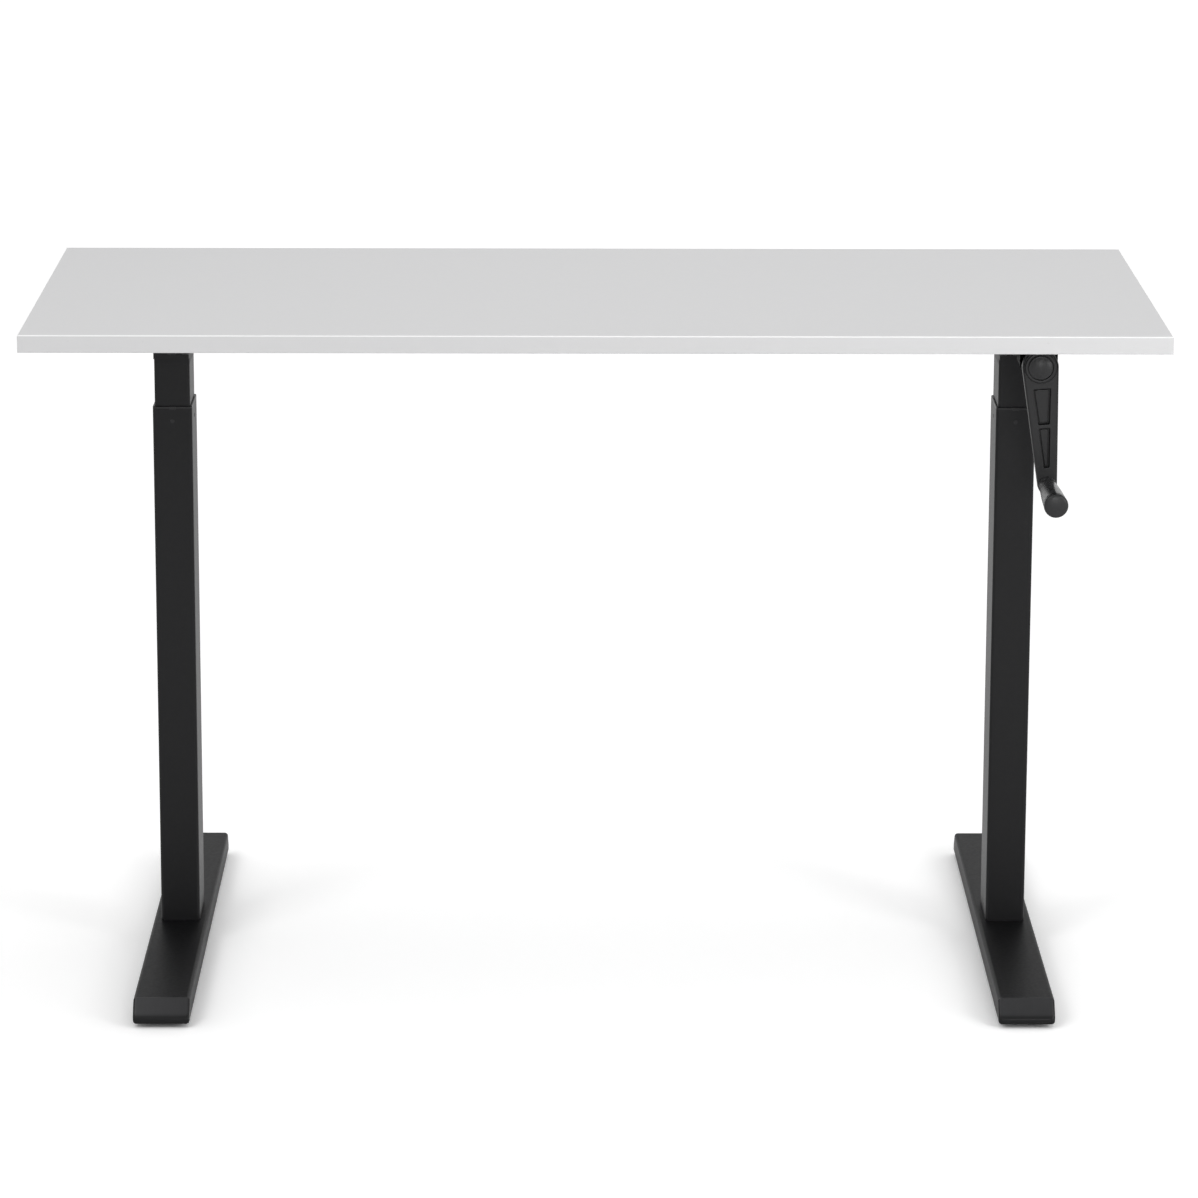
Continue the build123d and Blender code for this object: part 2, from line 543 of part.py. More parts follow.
def housing_bush(start, end):
    """Plain bearing between two points on its axis."""
    return rod(BUSH_OUTER, start, end) - rod(BUSH_BORE, start, end)


def housing_bushes(sign):
    """The bearings of one housing: for the lead screw, the cross shaft and the crank."""
    x = sign * LEG_X
    x0 = x - HOUSING_REACH
    bushes = [
        housing_bush((x, 0, INNER_TOP), (x, 0, CAVITY_FLOOR)),
        housing_bush((x0, 0, SHAFT_Z), (x0 + HOUSING_WALL, 0, SHAFT_Z)),
    ]
    if sign > 0:
        bushes.append(housing_bush((HOUSING_END - INPUT_END_WALL, 0, SHAFT_Z), (HOUSING_END, 0, SHAFT_Z)))
        bushes.append(housing_bush((CRANK_X, -RAIL_INNER_Y, SHAFT_Z), (CRANK_X, INPUT_WALL_Y, SHAFT_Z)))
    return bushes


for side, sign in SIDES.items():
    x = sign * LEG_X
    save(f"{side}_inner_tube", inner_tube(x))
    save(f"{side}_lower_glide", lower_glide(x))
    save(f"{side}_side_bracket", side_bracket(x))
    save(f"{side}_gear_housing", gear_housing(sign))
    save(f"{side}_housing_cover", housing_cover(sign))
save("housing_bushes", Compound(children=housing_bushes(-1) + housing_bushes(1)))
save("front_rail", rail(-1))
save("rear_rail", rail(1))
save("frame_bolts", Compound(children=[frame_bolt(x, y) for x, y in FRAME_BOLTS]))

# --- gear train: mitre gears, cross shaft, lead screws and the crank's tube -----------------
ADDENDUM = 1.2
DEDENDUM = 1.6
FACE_SHARE = 0.66  # the tooth's inner end, as a share of its outer end's distance from the apex
TOOTH_HALF_ROOT = 6.0  # degrees about the gear's axis
TOOTH_HALF_TIP = 3.2
TOOTH_PITCH = 360.0 / GEAR_TEETH
GEAR_BACK = 16.0  # back of the gear, from the apex
SCREW_SPIGOT = 5.0
CRANK_TUBE_OUTER = 7.5
CRANK_TUBE_INNER = 6.3
CRANK_TUBE_BACK = -12.0
CRANK_TUBE_RECESS = 5.0  # the tube's front end, inside the guide's front face
CRANK_TUBE_FRONT = GUIDE_FRONT + CRANK_TUBE_RECESS
HEX_SEAT_LENGTH = 25.0  # hexagonal stretch at the tube's front end


def cone_point(radial, axial, angle):
    """A point at this radius, height and angle about Z."""
    turn = angle * pi / 180
    return (radial * cos(turn), radial * sin(turn), axial)


def mitre_gear(hub_length, phase):
    """A mitre gear about +Z with its apex at the origin, its hub pointing away from the apex."""
    slant = 1 / sqrt(2)
    root = (GEAR_PITCH_RADIUS - slant * DEDENDUM, GEAR_PITCH_RADIUS + slant * DEDENDUM)
    tip = (GEAR_PITCH_RADIUS + slant * ADDENDUM, GEAR_PITCH_RADIUS - slant * ADDENDUM)
    face = FACE_SHARE
    profile = Polyline(
        (0, face * root[1]), (face * root[0], face * root[1]), root, (root[0] - 0.6, GEAR_BACK),
        (HUB_RADIUS, GEAR_BACK), (HUB_RADIUS, GEAR_BACK + hub_length), (0, GEAR_BACK + hub_length),
        close=True,
    )
    gear = revolve(Plane.XZ * make_face(profile), Axis.Z)
    sunk = 0.4  # how far a tooth reaches into the body below it
    sunk_root = (root[0] - slant * sunk, root[1] + slant * sunk)
    for tooth in range(GEAR_TEETH):
        middle = phase + tooth * TOOTH_PITCH
        ends = []
        for share in (1.0, face):
            corners = [
                cone_point(share * sunk_root[0], share * sunk_root[1], middle - TOOTH_HALF_ROOT),
                cone_point(share * tip[0], share * tip[1], middle - TOOTH_HALF_TIP),
                cone_point(share * tip[0], share * tip[1], middle + TOOTH_HALF_TIP),
                cone_point(share * sunk_root[0], share * sunk_root[1], middle + TOOTH_HALF_ROOT),
            ]
            ends.append(make_face(Polyline(*corners, close=True)))
        gear += loft(ends, ruled=True)
    return gear


def placed(gear, apex, direction):
    """The gear with its apex here and its hub pointing this way, keeping a known tooth phase."""
    planes = {
        "+X": Plane(apex, x_dir=(0, 1, 0), z_dir=(1, 0, 0)),
        "-X": Plane(apex, x_dir=(0, 1, 0), z_dir=(-1, 0, 0)),
        "-Y": Plane(apex, x_dir=(1, 0, 0), z_dir=(0, -1, 0)),
        "-Z": Plane(apex, x_dir=(1, 0, 0), z_dir=(0, 0, -1)),
    }
    return planes[direction] * gear


def shaft_gear(column_x, hub_length, direction, phase):
    """A gear on the cross shaft, with the hexagonal hole that the shaft fits."""
    gear = placed(mitre_gear(hub_length, phase), (column_x, 0, SHAFT_Z), direction)
    return gear - hex_bar(HEX_SHAFT, (column_x - 60, 0, SHAFT_Z), (column_x + 60, 0, SHAFT_Z))


def screw_gear(x):
    gear = placed(mitre_gear(SHAFT_Z - GEAR_BACK - INNER_TOP + 2.0, 0), (x, 0, SHAFT_Z), "-Z")
    return gear - rod(SCREW_SPIGOT, (x, 0, INNER_TOP - 10), (x, 0, SHAFT_Z))


def lead_screw(x):
    """Lifting screw hanging from its gear; its plain surface stands at the thread's crests."""
    shoulder = INNER_TOP - 2.0
    spigot_top = SHAFT_Z - FACE_SHARE * (GEAR_PITCH_RADIUS + DEDENDUM / sqrt(2))
    screw = rod(SCREW_RADIUS, (x, 0, SCREW_BOTTOM), (x, 0, shoulder))
    screw = chamfer(screw.edges().filter_by(GeomType.CIRCLE).sort_by(Axis.Z)[0], 1.5)
    return screw + rod(SCREW_SPIGOT, (x, 0, shoulder), (x, 0, spigot_top))


def crank_tube():
    """Tube that the crank's shaft slides in. Only its front end is hexagonal inside."""
    tube = rod(CRANK_TUBE_OUTER, (CRANK_X, CRANK_TUBE_FRONT, SHAFT_Z), (CRANK_X, CRANK_TUBE_BACK, SHAFT_Z))
    seat_back = CRANK_TUBE_FRONT + HEX_SEAT_LENGTH
    tube -= rod(CRANK_TUBE_INNER, (CRANK_X, seat_back, SHAFT_Z), (CRANK_X, CRANK_TUBE_BACK + 1, SHAFT_Z))
    seat = HEX_SHAFT + 2 * SLIDING_GAP
    return tube - hex_bar(seat, (CRANK_X, CRANK_TUBE_FRONT - 1, SHAFT_Z), (CRANK_X, seat_back + 1, SHAFT_Z))


def crank_gear():
    hub = -RAIL_INNER_Y + GEAR_BACK
    gear = placed(mitre_gear(-hub, TOOTH_PITCH / 2), (CRANK_X, 0, SHAFT_Z), "-Y")
    return gear - rod(CRANK_TUBE_OUTER, (CRANK_X, -RAIL_INNER_Y - 10, SHAFT_Z), (CRANK_X, 0, SHAFT_Z))


for side, sign in SIDES.items():
    x = sign * LEG_X
    save(f"{side}_lead_screw", lead_screw(x))
    save(f"{side}_screw_gear", screw_gear(x))
    save(f"{side}_shaft_gear", shaft_gear(x, HOUSING_REACH - GEAR_BACK, "-X", TOOTH_PITCH / 2))
save("input_shaft_gear", shaft_gear(CRANK_X, HOUSING_END - CRANK_X - GEAR_BACK, "+X", 0))
shaft_ends = (-LEG_X - HOUSING_REACH, HOUSING_END)
save("cross_shaft", hex_bar(HEX_SHAFT, (shaft_ends[0], 0, SHAFT_Z), (shaft_ends[1], 0, SHAFT_Z)))
save("crank_tube", Compound(children=[crank_tube(), crank_gear()]))

# --- crank guide, crank and knob ------------------------------------------------------------
ARM_THICKNESS = 12.0
ARM_BACK = CRANK_FACE_Y + ARM_THICKNESS
ARM_HUB_RADIUS = 22.5
ARM_END_RADIUS = 12.0
ARM_EDGE_ROUND = 1.5
BOSS_RADIUS = 19.0  # raised ring round the cap
BOSS_HEIGHT = 1.5
CAP_RADIUS = 15.0
CAP_HEIGHT = 4.5
CAP_GROOVE = 1.2
CRANK_SHAFT_RADIUS = 4.8
CRANK_HEX_LENGTH = 15.0
POCKET_DEPTH = 5.0
# each pocket: distances from the hub of its two ends, and its half width at each
POCKETS = ((28.0, 72.0, 10.5, 7.1), (77.5, 127.0, 7.0, 3.6))
PIN_RADIUS = 4.0
KNOB_REACH = 114.0  # from the arm's front face to the knob's free end
PIN_SHORT = 14.0  # from the knob's free end to the shoulder of the pin's head
KNOB_FRONT = CRANK_FACE_Y - KNOB_REACH
PIN_END = KNOB_FRONT + PIN_SHORT
PIN_HEAD_RADIUS = 7.0
PIN_HEAD_HEIGHT = 3.0
KNOB_BASE = CRANK_FACE_Y - SLIDING_GAP
KNOB_BASE_RADIUS = 10.5
KNOB_END_RADIUS = 15.0
KNOB_COLLAR_RADIUS = 11.5
KNOB_COLLAR = 4.0
KNOB_CAP_LENGTH = 7.0
KNOB_END_ROOM = 9.5  # radius of the hollow round the pin's head
COLLAR_RADIUS = 8.5
KNOB_X = CRANK_X + CRANK_LENGTH * sin(CRANK_LEAN * pi / 180)
KNOB_Z = SHAFT_Z - CRANK_LENGTH * cos(CRANK_LEAN * pi / 180)

# drawing plane of the arm: its origin on the crank's axis at the arm's front face, its second
# axis from the knob up to the hub, its normal towards the user
lean = CRANK_LEAN * pi / 180
ARM_PLANE = Plane(
    (CRANK_X, CRANK_FACE_Y, SHAFT_Z), x_dir=(cos(lean), 0, sin(lean)), z_dir=(0, -1, 0)
)


def crank_guide():
    """Block under the board that steadies the crank's tube, with two screw flanges."""
    half = GUIDE_WIDTH / 2
    body = block(CRANK_X - half, CRANK_X + half, GUIDE_FRONT, GUIDE_BACK, GUIDE_BOTTOM, UNDERSIDE)
    lower = body.edges().filter_by(Axis.Y).sort_by(Axis.Z)[:2]
    body = chamfer(lower, GUIDE_CHAMFER)
    flange = half + GUIDE_FLANGE
    body += block(
        CRANK_X - flange, CRANK_X + flange, GUIDE_FRONT, GUIDE_BACK, UNDERSIDE - GUIDE_FLANGE_HEIGHT, UNDERSIDE
    )
    for x, y in GUIDE_SCREWS:
        body -= rod(SCREW_PILOT + 0.5, (x, y, UNDERSIDE - 10), (x, y, UNDERSIDE + 1))
    bore = CRANK_TUBE_OUTER + SLIDING_GAP
    return body - rod(bore, (CRANK_X, GUIDE_FRONT - 1, SHAFT_Z), (CRANK_X, GUIDE_BACK + 1, SHAFT_Z))


def crank_arm():
    """Tapered arm with two pockets between its rims, and a raised ring on its hub."""
    hub, end = Circle(ARM_HUB_RADIUS), Pos(0, -CRANK_LENGTH) * Circle(ARM_END_RADIUS)
    outline = make_hull((hub + end).edges())
    arm = extrude(ARM_PLANE * outline, -ARM_THICKNESS)
    arm = fillet(arm.edges().filter_by_position(Axis.Y, CRANK_FACE_Y - 0.01, CRANK_FACE_Y + 0.01), ARM_EDGE_ROUND)
    for top, bottom, half_top, half_bottom in POCKETS:
        pocket = Polyline(
            (-half_top, -top), (half_top, -top), (half_bottom, -bottom), (-half_bottom, -bottom), close=True
        )
        floor = ARM_PLANE.offset(-POCKET_DEPTH)
        arm -= extrude(floor * make_face(pocket), POCKET_DEPTH + 1)
    arm += extrude(ARM_PLANE * (Circle(BOSS_RADIUS) - Circle(CAP_RADIUS + CAP_GROOVE)), BOSS_HEIGHT)
    arm += extrude(ARM_PLANE * (Pos(0, -CRANK_LENGTH) * Circle(KNOB_COLLAR_RADIUS)), -ARM_THICKNESS)
    arm -= rod(CRANK_SHAFT_RADIUS, (CRANK_X, CRANK_FACE_Y - 5, SHAFT_Z), (CRANK_X, ARM_BACK + 5, SHAFT_Z))
    return arm - rod(PIN_RADIUS, (KNOB_X, CRANK_FACE_Y - 5, KNOB_Z), (KNOB_X, ARM_BACK + 5, KNOB_Z))


def hub_cap():
    """Domed cap over the shaft's end."""
    cap = rod(CAP_RADIUS, (CRANK_X, CRANK_FACE_Y - CAP_HEIGHT, SHAFT_Z), (CRANK_X, CRANK_FACE_Y, SHAFT_Z))
    return fillet(cap.edges().filter_by(GeomType.CIRCLE).sort_by(Axis.Y)[0], CAP_HEIGHT - 1.0)


def crank_shaft():
    """Round shaft with a hexagonal end that only drives the tube when it is pulled forward."""
    back = CRANK_TUBE_BACK - 2.0
    hex_front = back - CRANK_HEX_LENGTH
    shaft = rod(CRANK_SHAFT_RADIUS, (CRANK_X, CRANK_FACE_Y, SHAFT_Z), (CRANK_X, hex_front, SHAFT_Z))
    return shaft + hex_bar(HEX_SHAFT, (CRANK_X, hex_front, SHAFT_Z), (CRANK_X, back, SHAFT_Z))


def crank_collar():
    """Stop collar on the shaft, behind the arm. It slides with the shaft and doesn't turn."""
    back = GUIDE_FRONT - SLIDING_GAP
    front = ARM_BACK + SLIDING_GAP
    ring = rod(COLLAR_RADIUS, (CRANK_X, front, SHAFT_Z), (CRANK_X, back, SHAFT_Z))
    bore = CRANK_SHAFT_RADIUS + SLIDING_GAP
    return ring - rod(bore, (CRANK_X, front - 1, SHAFT_Z), (CRANK_X, back + 1, SHAFT_Z))


def knob_pin():
    pin = rod(PIN_RADIUS, (KNOB_X, ARM_BACK, KNOB_Z), (KNOB_X, PIN_END, KNOB_Z))
    return pin + rod(PIN_HEAD_RADIUS, (KNOB_X, PIN_END, KNOB_Z), (KNOB_X, PIN_END - PIN_HEAD_HEIGHT, KNOB_Z))


def knob_sleeve():
    """Tapered grip that turns on the pin, thickest at its free end, with a collar at the arm."""
    collar_end = KNOB_BASE - KNOB_COLLAR
    seam = KNOB_FRONT + KNOB_CAP_LENGTH
    room_back = PIN_END + SLIDING_GAP
    bore = PIN_RADIUS + SLIDING_GAP
    profile = Polyline(
        (bore, KNOB_BASE), (KNOB_COLLAR_RADIUS, KNOB_BASE), (KNOB_COLLAR_RADIUS, collar_end),
        (KNOB_BASE_RADIUS, collar_end - 1.0), (KNOB_END_RADIUS, seam), (KNOB_END_ROOM, seam),
        (KNOB_END_ROOM, room_back), (bore, room_back), close=True,
    )
    axis = Axis((KNOB_X, 0, KNOB_Z), (0, 1, 0))
    plane = Plane((KNOB_X, 0, KNOB_Z), x_dir=(1, 0, 0), z_dir=(0, 0, 1))
    return revolve(plane * make_face(profile), axis)


def knob_cap():
    """Domed end cap of the grip, with a fine step where it meets the sleeve."""
    seam = KNOB_FRONT + KNOB_CAP_LENGTH
    cap = rod(KNOB_END_RADIUS, (KNOB_X, KNOB_FRONT, KNOB_Z), (KNOB_X, seam, KNOB_Z))
    cap = fillet(cap.edges().filter_by(GeomType.CIRCLE).sort_by(Axis.Y)[0], 5.5)
    return cap - rod(PIN_HEAD_RADIUS + 1.0, (KNOB_X, seam - 2.0, KNOB_Z), (KNOB_X, seam + 1.0, KNOB_Z))


save("crank_guide", crank_guide())
save("crank_arm", crank_arm())
save("hub_cap", hub_cap())
save("crank_shaft", crank_shaft())
save("crank_collar", crank_collar())
save("knob_pin", knob_pin())
save("knob_sleeve", knob_sleeve())
save("knob_cap", knob_cap())
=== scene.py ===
"""Looks for a height adjustable standing desk with a hand crank, built round its CAD frame."""

import json
import logging
import math
from dataclasses import dataclass, field
from enum import Enum
from typing import Iterable, Sequence

import bmesh
import bpy
from mathutils import Matrix, Vector

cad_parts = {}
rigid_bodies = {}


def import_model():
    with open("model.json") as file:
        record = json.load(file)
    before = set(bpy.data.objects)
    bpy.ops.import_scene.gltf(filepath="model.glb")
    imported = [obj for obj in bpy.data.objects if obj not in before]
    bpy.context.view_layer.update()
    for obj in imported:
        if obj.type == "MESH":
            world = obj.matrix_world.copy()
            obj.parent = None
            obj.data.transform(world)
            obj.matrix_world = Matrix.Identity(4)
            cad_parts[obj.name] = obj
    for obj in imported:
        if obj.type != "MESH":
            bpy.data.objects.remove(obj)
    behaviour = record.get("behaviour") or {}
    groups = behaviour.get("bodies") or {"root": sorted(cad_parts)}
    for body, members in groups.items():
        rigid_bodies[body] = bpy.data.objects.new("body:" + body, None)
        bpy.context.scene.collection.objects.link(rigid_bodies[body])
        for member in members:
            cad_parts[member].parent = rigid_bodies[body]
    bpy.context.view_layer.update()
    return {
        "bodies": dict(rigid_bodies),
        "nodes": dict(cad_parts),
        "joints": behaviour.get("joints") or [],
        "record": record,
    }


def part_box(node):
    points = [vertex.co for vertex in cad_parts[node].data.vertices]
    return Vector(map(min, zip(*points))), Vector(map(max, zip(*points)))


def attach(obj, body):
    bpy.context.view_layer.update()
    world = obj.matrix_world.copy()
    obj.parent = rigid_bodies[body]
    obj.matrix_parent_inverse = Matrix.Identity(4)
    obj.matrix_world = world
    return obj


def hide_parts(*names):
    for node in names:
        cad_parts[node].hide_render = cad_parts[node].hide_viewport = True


logging.basicConfig(level=logging.INFO, format="%(message)s")
log = logging.getLogger("desk")

Point = tuple[float, float, float]
Pair = tuple[float, float]
Colour = tuple[float, float, float]
Socket = bpy.types.NodeSocket
Material = bpy.types.Material
Mesh = bpy.types.Mesh
Loop = list[bmesh.types.BMVert]

MM = 0.001
TO_USER = (0, -1, 0)
UP = (0, 0, 1)


class Named(Enum):
    """A choice whose members know their word in node names."""

    @property
    def word(self) -> str:
        """The member's word in node names."""
        return self.name.lower()


class Side(Named):
    """The two ends of the desk, with the sign of X on each."""

    LEFT = -1
    RIGHT = 1


class End(Named):
    """The two ends of a foot, with the sign of Y on each."""

    FRONT = -1
    REAR = 1


class Along(Enum):
    """The axis that a turned piece's marks run round."""

    X = 0
    Y = 1
    Z = 2


def toned(colour: Colour, factor: float) -> Colour:
    """A colour made darker or paler by a factor."""
    return tuple(factor * part for part in colour)


# --------------------------------------------------------------------------------------------
# Node trees
# --------------------------------------------------------------------------------------------
class NodeTree:
    """A material's node tree, with short names for the nodes that the finishes share."""

    def __init__(self, name: str) -> None:
        """Starts a material with a shader and nothing else.

        Args:
            name: The material's name.
        """
        self.material = bpy.data.materials.new(name)
        self.material.use_nodes = True
        self.tree = self.material.node_tree
        self.shader = self.tree.nodes["Principled BSDF"]
        self.coords = self.node("ShaderNodeTexCoord").outputs["Object"]

    def node(self, kind: str, **values: object) -> bpy.types.Node:
        """Adds a node.

        Args:
            kind: Blender's name for the node type.
            values: Properties to set on the node.

        Returns:
            The new node.
        """
        made = self.tree.nodes.new(kind)
        for key, value in values.items():
            setattr(made, key, value)
        return made

    def link(self, source: Socket, target: Socket) -> None:
        """Joins an output socket to an input socket."""
        self.tree.links.new(source, target)

    def scaled(self, factors: Point) -> Socket:
        """Object coordinates stretched along each axis.

        Args:
            factors: The stretch along X, Y and Z.

        Returns:
            The vector socket.
        """
        mapping = self.node("ShaderNodeMapping")
        mapping.inputs["Scale"].default_value = factors
        self.link(self.coords, mapping.inputs["Vector"])
        return mapping.outputs["Vector"]

    def noise(self, scale: float, detail: float, stretch: Point = (1, 1, 1)) -> Socket:
        """Fractal noise.

        Args:
            scale: Noise cells per metre.
            detail: Octaves.
            stretch: Stretch of the coordinates along each axis.

        Returns:
            The noise value's socket.
        """
        made = self.node("ShaderNodeTexNoise")
        made.inputs["Scale"].default_value = scale
        made.inputs["Detail"].default_value = detail
        self.link(self.scaled(stretch), made.inputs["Vector"])
        return made.outputs["Fac"]

    def cells(self, scale: float) -> Socket:
        """Distance to the nearest of scattered points, for pebbled surfaces.

        Args:
            scale: Cells per metre.

        Returns:
            The distance socket.
        """
        made = self.node("ShaderNodeTexVoronoi", feature="SMOOTH_F1")
        made.inputs["Scale"].default_value = scale
        self.link(self.coords, made.inputs["Vector"])
        return made.outputs["Distance"]

    def ramp(self, value: Socket, stops: Sequence[Pair]) -> Socket:
        """Maps a value through a grey ramp.

        Args:
            value: The socket to map.
            stops: Pairs of position and brightness.

        Returns:
            The ramp's colour socket.
        """
        made = self.node("ShaderNodeValToRGB")
        elements = made.color_ramp.elements
        while len(elements) < len(stops):
            elements.new(0.5)
        for element, (position, grey) in zip(elements, stops, strict=True):
            element.position = position
            element.color = (grey, grey, grey, 1)
        self.link(value, made.inputs["Fac"])
        return made.outputs["Color"]

    def uneven(self, value: Socket, middle: float, below: float, above: float,
               span: Pair = (0.3, 0.7)) -> Socket:
        """A roughness that wanders about its middle.

        Args:
            value: The noise that moves it.
            middle: Its middle.
            below: How far under the middle it falls.
            above: How far over the middle it rises.
            span: The noise's values at its lowest and its highest.

        Returns:
            The roughness socket.
        """
        return self.ramp(value, [(span[0], middle - below), (span[1], middle + above)])

    def product(self, first: Socket, second: Socket) -> Socket:
        """Multiplies the values of two sockets."""
        made = self.node("ShaderNodeMath", operation="MULTIPLY")
        self.link(first, made.inputs[0])
        self.link(second, made.inputs[1])
        return made.outputs[0]

    def mix(self, factor: Socket, low: Colour | Socket, high: Colour | Socket) -> Socket:
        """Blends two colours.

        Args:
            factor: The socket that chooses between them.
            low: Colour where the factor is 0, as numbers or a socket.
            high: Colour where the factor is 1, as numbers or a socket.

        Returns:
            The blended colour's socket.
        """
        made = self.node("ShaderNodeMix", data_type="RGBA")
        self.link(factor, made.inputs["Factor"])
        for name, value in (("A", low), ("B", high)):
            target = next(s for s in made.inputs if s.name == name and s.type == "RGBA")
            if isinstance(value, tuple):
                target.default_value = (*value, 1)
            else:
                self.link(value, target)
        return next(s for s in made.outputs if s.type == "RGBA")

    def bump(self, height: Socket, strength: float, distance: float,
             under: Socket | None = None) -> Socket:
        """A bumped normal.

        Args:
            height: The height socket.
            strength: How strongly the bump shows, from 0 to 1.
            distance: The bump's depth in metres.
            under: A normal that this bump is laid on, if any.

        Returns:
            The normal socket.
        """
        made = self.node("ShaderNodeBump")
        made.inputs["Strength"].default_value = strength
        made.inputs["Distance"].default_value = distance
        self.link(height, made.inputs["Height"])
        if under is not None:
            self.link(under, made.inputs["Normal"])
        return made.outputs["Normal"]

    def edges(self, width: float) -> Socket:
        """A mask of the object's corners, from how a rounded normal departs from the true one.

        Args:
            width: How far from a corner the mask reaches, in metres.

        Returns:
            The mask's socket, 1 on a corner and 0 away from it.
        """
        rounded = self.node("ShaderNodeBevel", samples=4)
        rounded.inputs["Radius"].default_value = width
        plain = self.node("ShaderNodeNewGeometry")
        likeness = self.node("ShaderNodeVectorMath", operation="DOT_PRODUCT")
        self.link(rounded.outputs["Normal"], likeness.inputs[0])
        self.link(plain.outputs["Normal"], likeness.inputs[1])
        return self.ramp(likeness.outputs["Value"], [(0.75, 1.0), (0.99, 0.0)])

    def tilt(self, stops: Sequence[Pair]) -> Socket:
        """A mask of the faces that look up by some amount.

        Args:
            stops: Pairs of the amount, from 0 for upright to 1 for level, and the mask there.

        Returns:
            The mask's socket.
        """
        split = self.node("ShaderNodeSeparateXYZ")
        self.link(self.node("ShaderNodeNewGeometry").outputs["Normal"], split.inputs[0])
        return self.ramp(split.outputs["Z"], stops)

    def finish(self, colour: Socket, roughness: Socket, normal: Socket, **fixed: float) -> Material:
        """Connects the shader and sets its plain values.

        Args:
            colour: Base colour socket.
            roughness: Roughness socket.
            normal: Normal socket.
            fixed: Values for the shader's other sockets, with underscores for spaces.

        Returns:
            The finished material.
        """
        self.link(colour, self.shader.inputs["Base Color"])
        self.link(roughness, self.shader.inputs["Roughness"])
        self.link(normal, self.shader.inputs["Normal"])
        for key, value in fixed.items():
            self.shader.inputs[key.replace("_", " ")].default_value = value
        return self.material


# --------------------------------------------------------------------------------------------
# Finishes
# --------------------------------------------------------------------------------------------
@dataclass(frozen=True)
class WhiteBoard:
    """Melamine-faced chipboard: a satin white skin with a very fine pebble.

    Attributes:
        colour: The skin's colour.
        roughness: Middle of its roughness.
        gloss: Strength of its mirror part.
        pebble: Cells per metre of the pebble.
    """

    colour: Colour = (0.7, 0.7, 0.705)
    roughness: float = 0.58
    gloss: float = 0.22
    pebble: float = 1100.0

    def build(self) -> Material:
        """Makes the material.

        Returns:
            The finished material.
        """
        tree = NodeTree("white_board")
        clouds = tree.noise(2.2, 3.0, (0.6, 1.4, 1))
        colour = tree.mix(clouds, self.colour, toned(self.colour, 1.015))
        sheen_variation = tree.noise(160, 5.0)
        roughness = tree.uneven(sheen_variation, self.roughness, 0.03, 0.04, (0.35, 0.65))
        pebble = tree.bump(tree.cells(self.pebble), 0.14, 0.0001)
        normal = tree.bump(sheen_variation, 0.03, 0.0001, pebble)
        return tree.finish(colour, roughness, normal, Specular_IOR_Level=self.gloss)


@dataclass(frozen=True)
class WhiteBand:
    """Plastic edge band, glossier than the board, with a painted highlight: its rounded upper edge
    is painted near white.

    Attributes:
        colour: The band's colour.
        buffed: Colour painted on the rounded upper edge as a highlight.
        roughness: Middle of its roughness.
        gloss: Strength of its mirror part.
    """

    colour: Colour = (0.665, 0.665, 0.67)
    buffed: Colour = (0.96, 0.96, 0.96)
    roughness: float = 0.3
    gloss: float = 0.38

    def build(self) -> Material:
        """Makes the material.

        Returns:
            The finished material.
        """
        tree = NodeTree("white_band")
        draw_lines = tree.noise(500, 3.0, (0.02, 0.02, 1))
        plain = tree.mix(draw_lines, toned(self.colour, 0.985), self.colour)
        # Painted highlight: the faces of the upper edge's rounding, which look partly up, are
        # painted near white.
        rounding = tree.tilt([(0.06, 0.0), (0.3, 1.0), (0.93, 1.0), (0.995, 0.0)])
        colour = tree.mix(rounding, plain, self.buffed)
        roughness = tree.uneven(tree.noise(220, 4.0), self.roughness, 0.03, 0.05, (0.3, 0.75))
        normal = tree.bump(draw_lines, 0.05, 0.00005)
        return tree.finish(colour, roughness, normal, Specular_IOR_Level=self.gloss)


@dataclass(frozen=True)
class PowderCoat:
    """Black powder coat on steel: a fine orange peel, paler in broken patches along its edges.

    Attributes:
        name: The material's name.
        colour: The coat's colour.
        roughness: Middle of its roughness.
        gloss: Strength of its mirror part.
        peel: Cells per metre of the orange peel.
        worn: Colour of the paler patches along edges.
        rub_width: How far the paler patches reach from an edge, in metres.
    """

    name: str = "black_steel"
    colour: Colour = (0.0078, 0.0078, 0.0084)
    roughness: float = 0.42
    gloss: float = 0.16
    peel: float = 650.0
    worn: Colour = (0.03, 0.03, 0.032)
    rub_width: float = 0.0012

    def build(self) -> Material:
        """Makes the material.

        Returns:
            The finished material.
        """
        tree = NodeTree(self.name)
        edges = tree.edges(self.rub_width)
        broken = tree.ramp(tree.noise(140, 6.0), [(0.42, 0.0), (0.62, 1.0)])
        # The edges are made paler in broken patches.
        edge_patches = tree.product(edges, broken)
        cloudy = tree.mix(tree.noise(240, 5.0), self.colour, toned(self.colour, 1.3))
        colour = tree.mix(edge_patches, cloudy, self.worn)
        roughness = tree.uneven(tree.noise(300, 4.0), self.roughness, 0.03, 0.04)
        normal = tree.bump(tree.noise(self.peel, 2.0), 0.14, 0.00014)
        return tree.finish(colour, roughness, normal, Specular_IOR_Level=self.gloss)


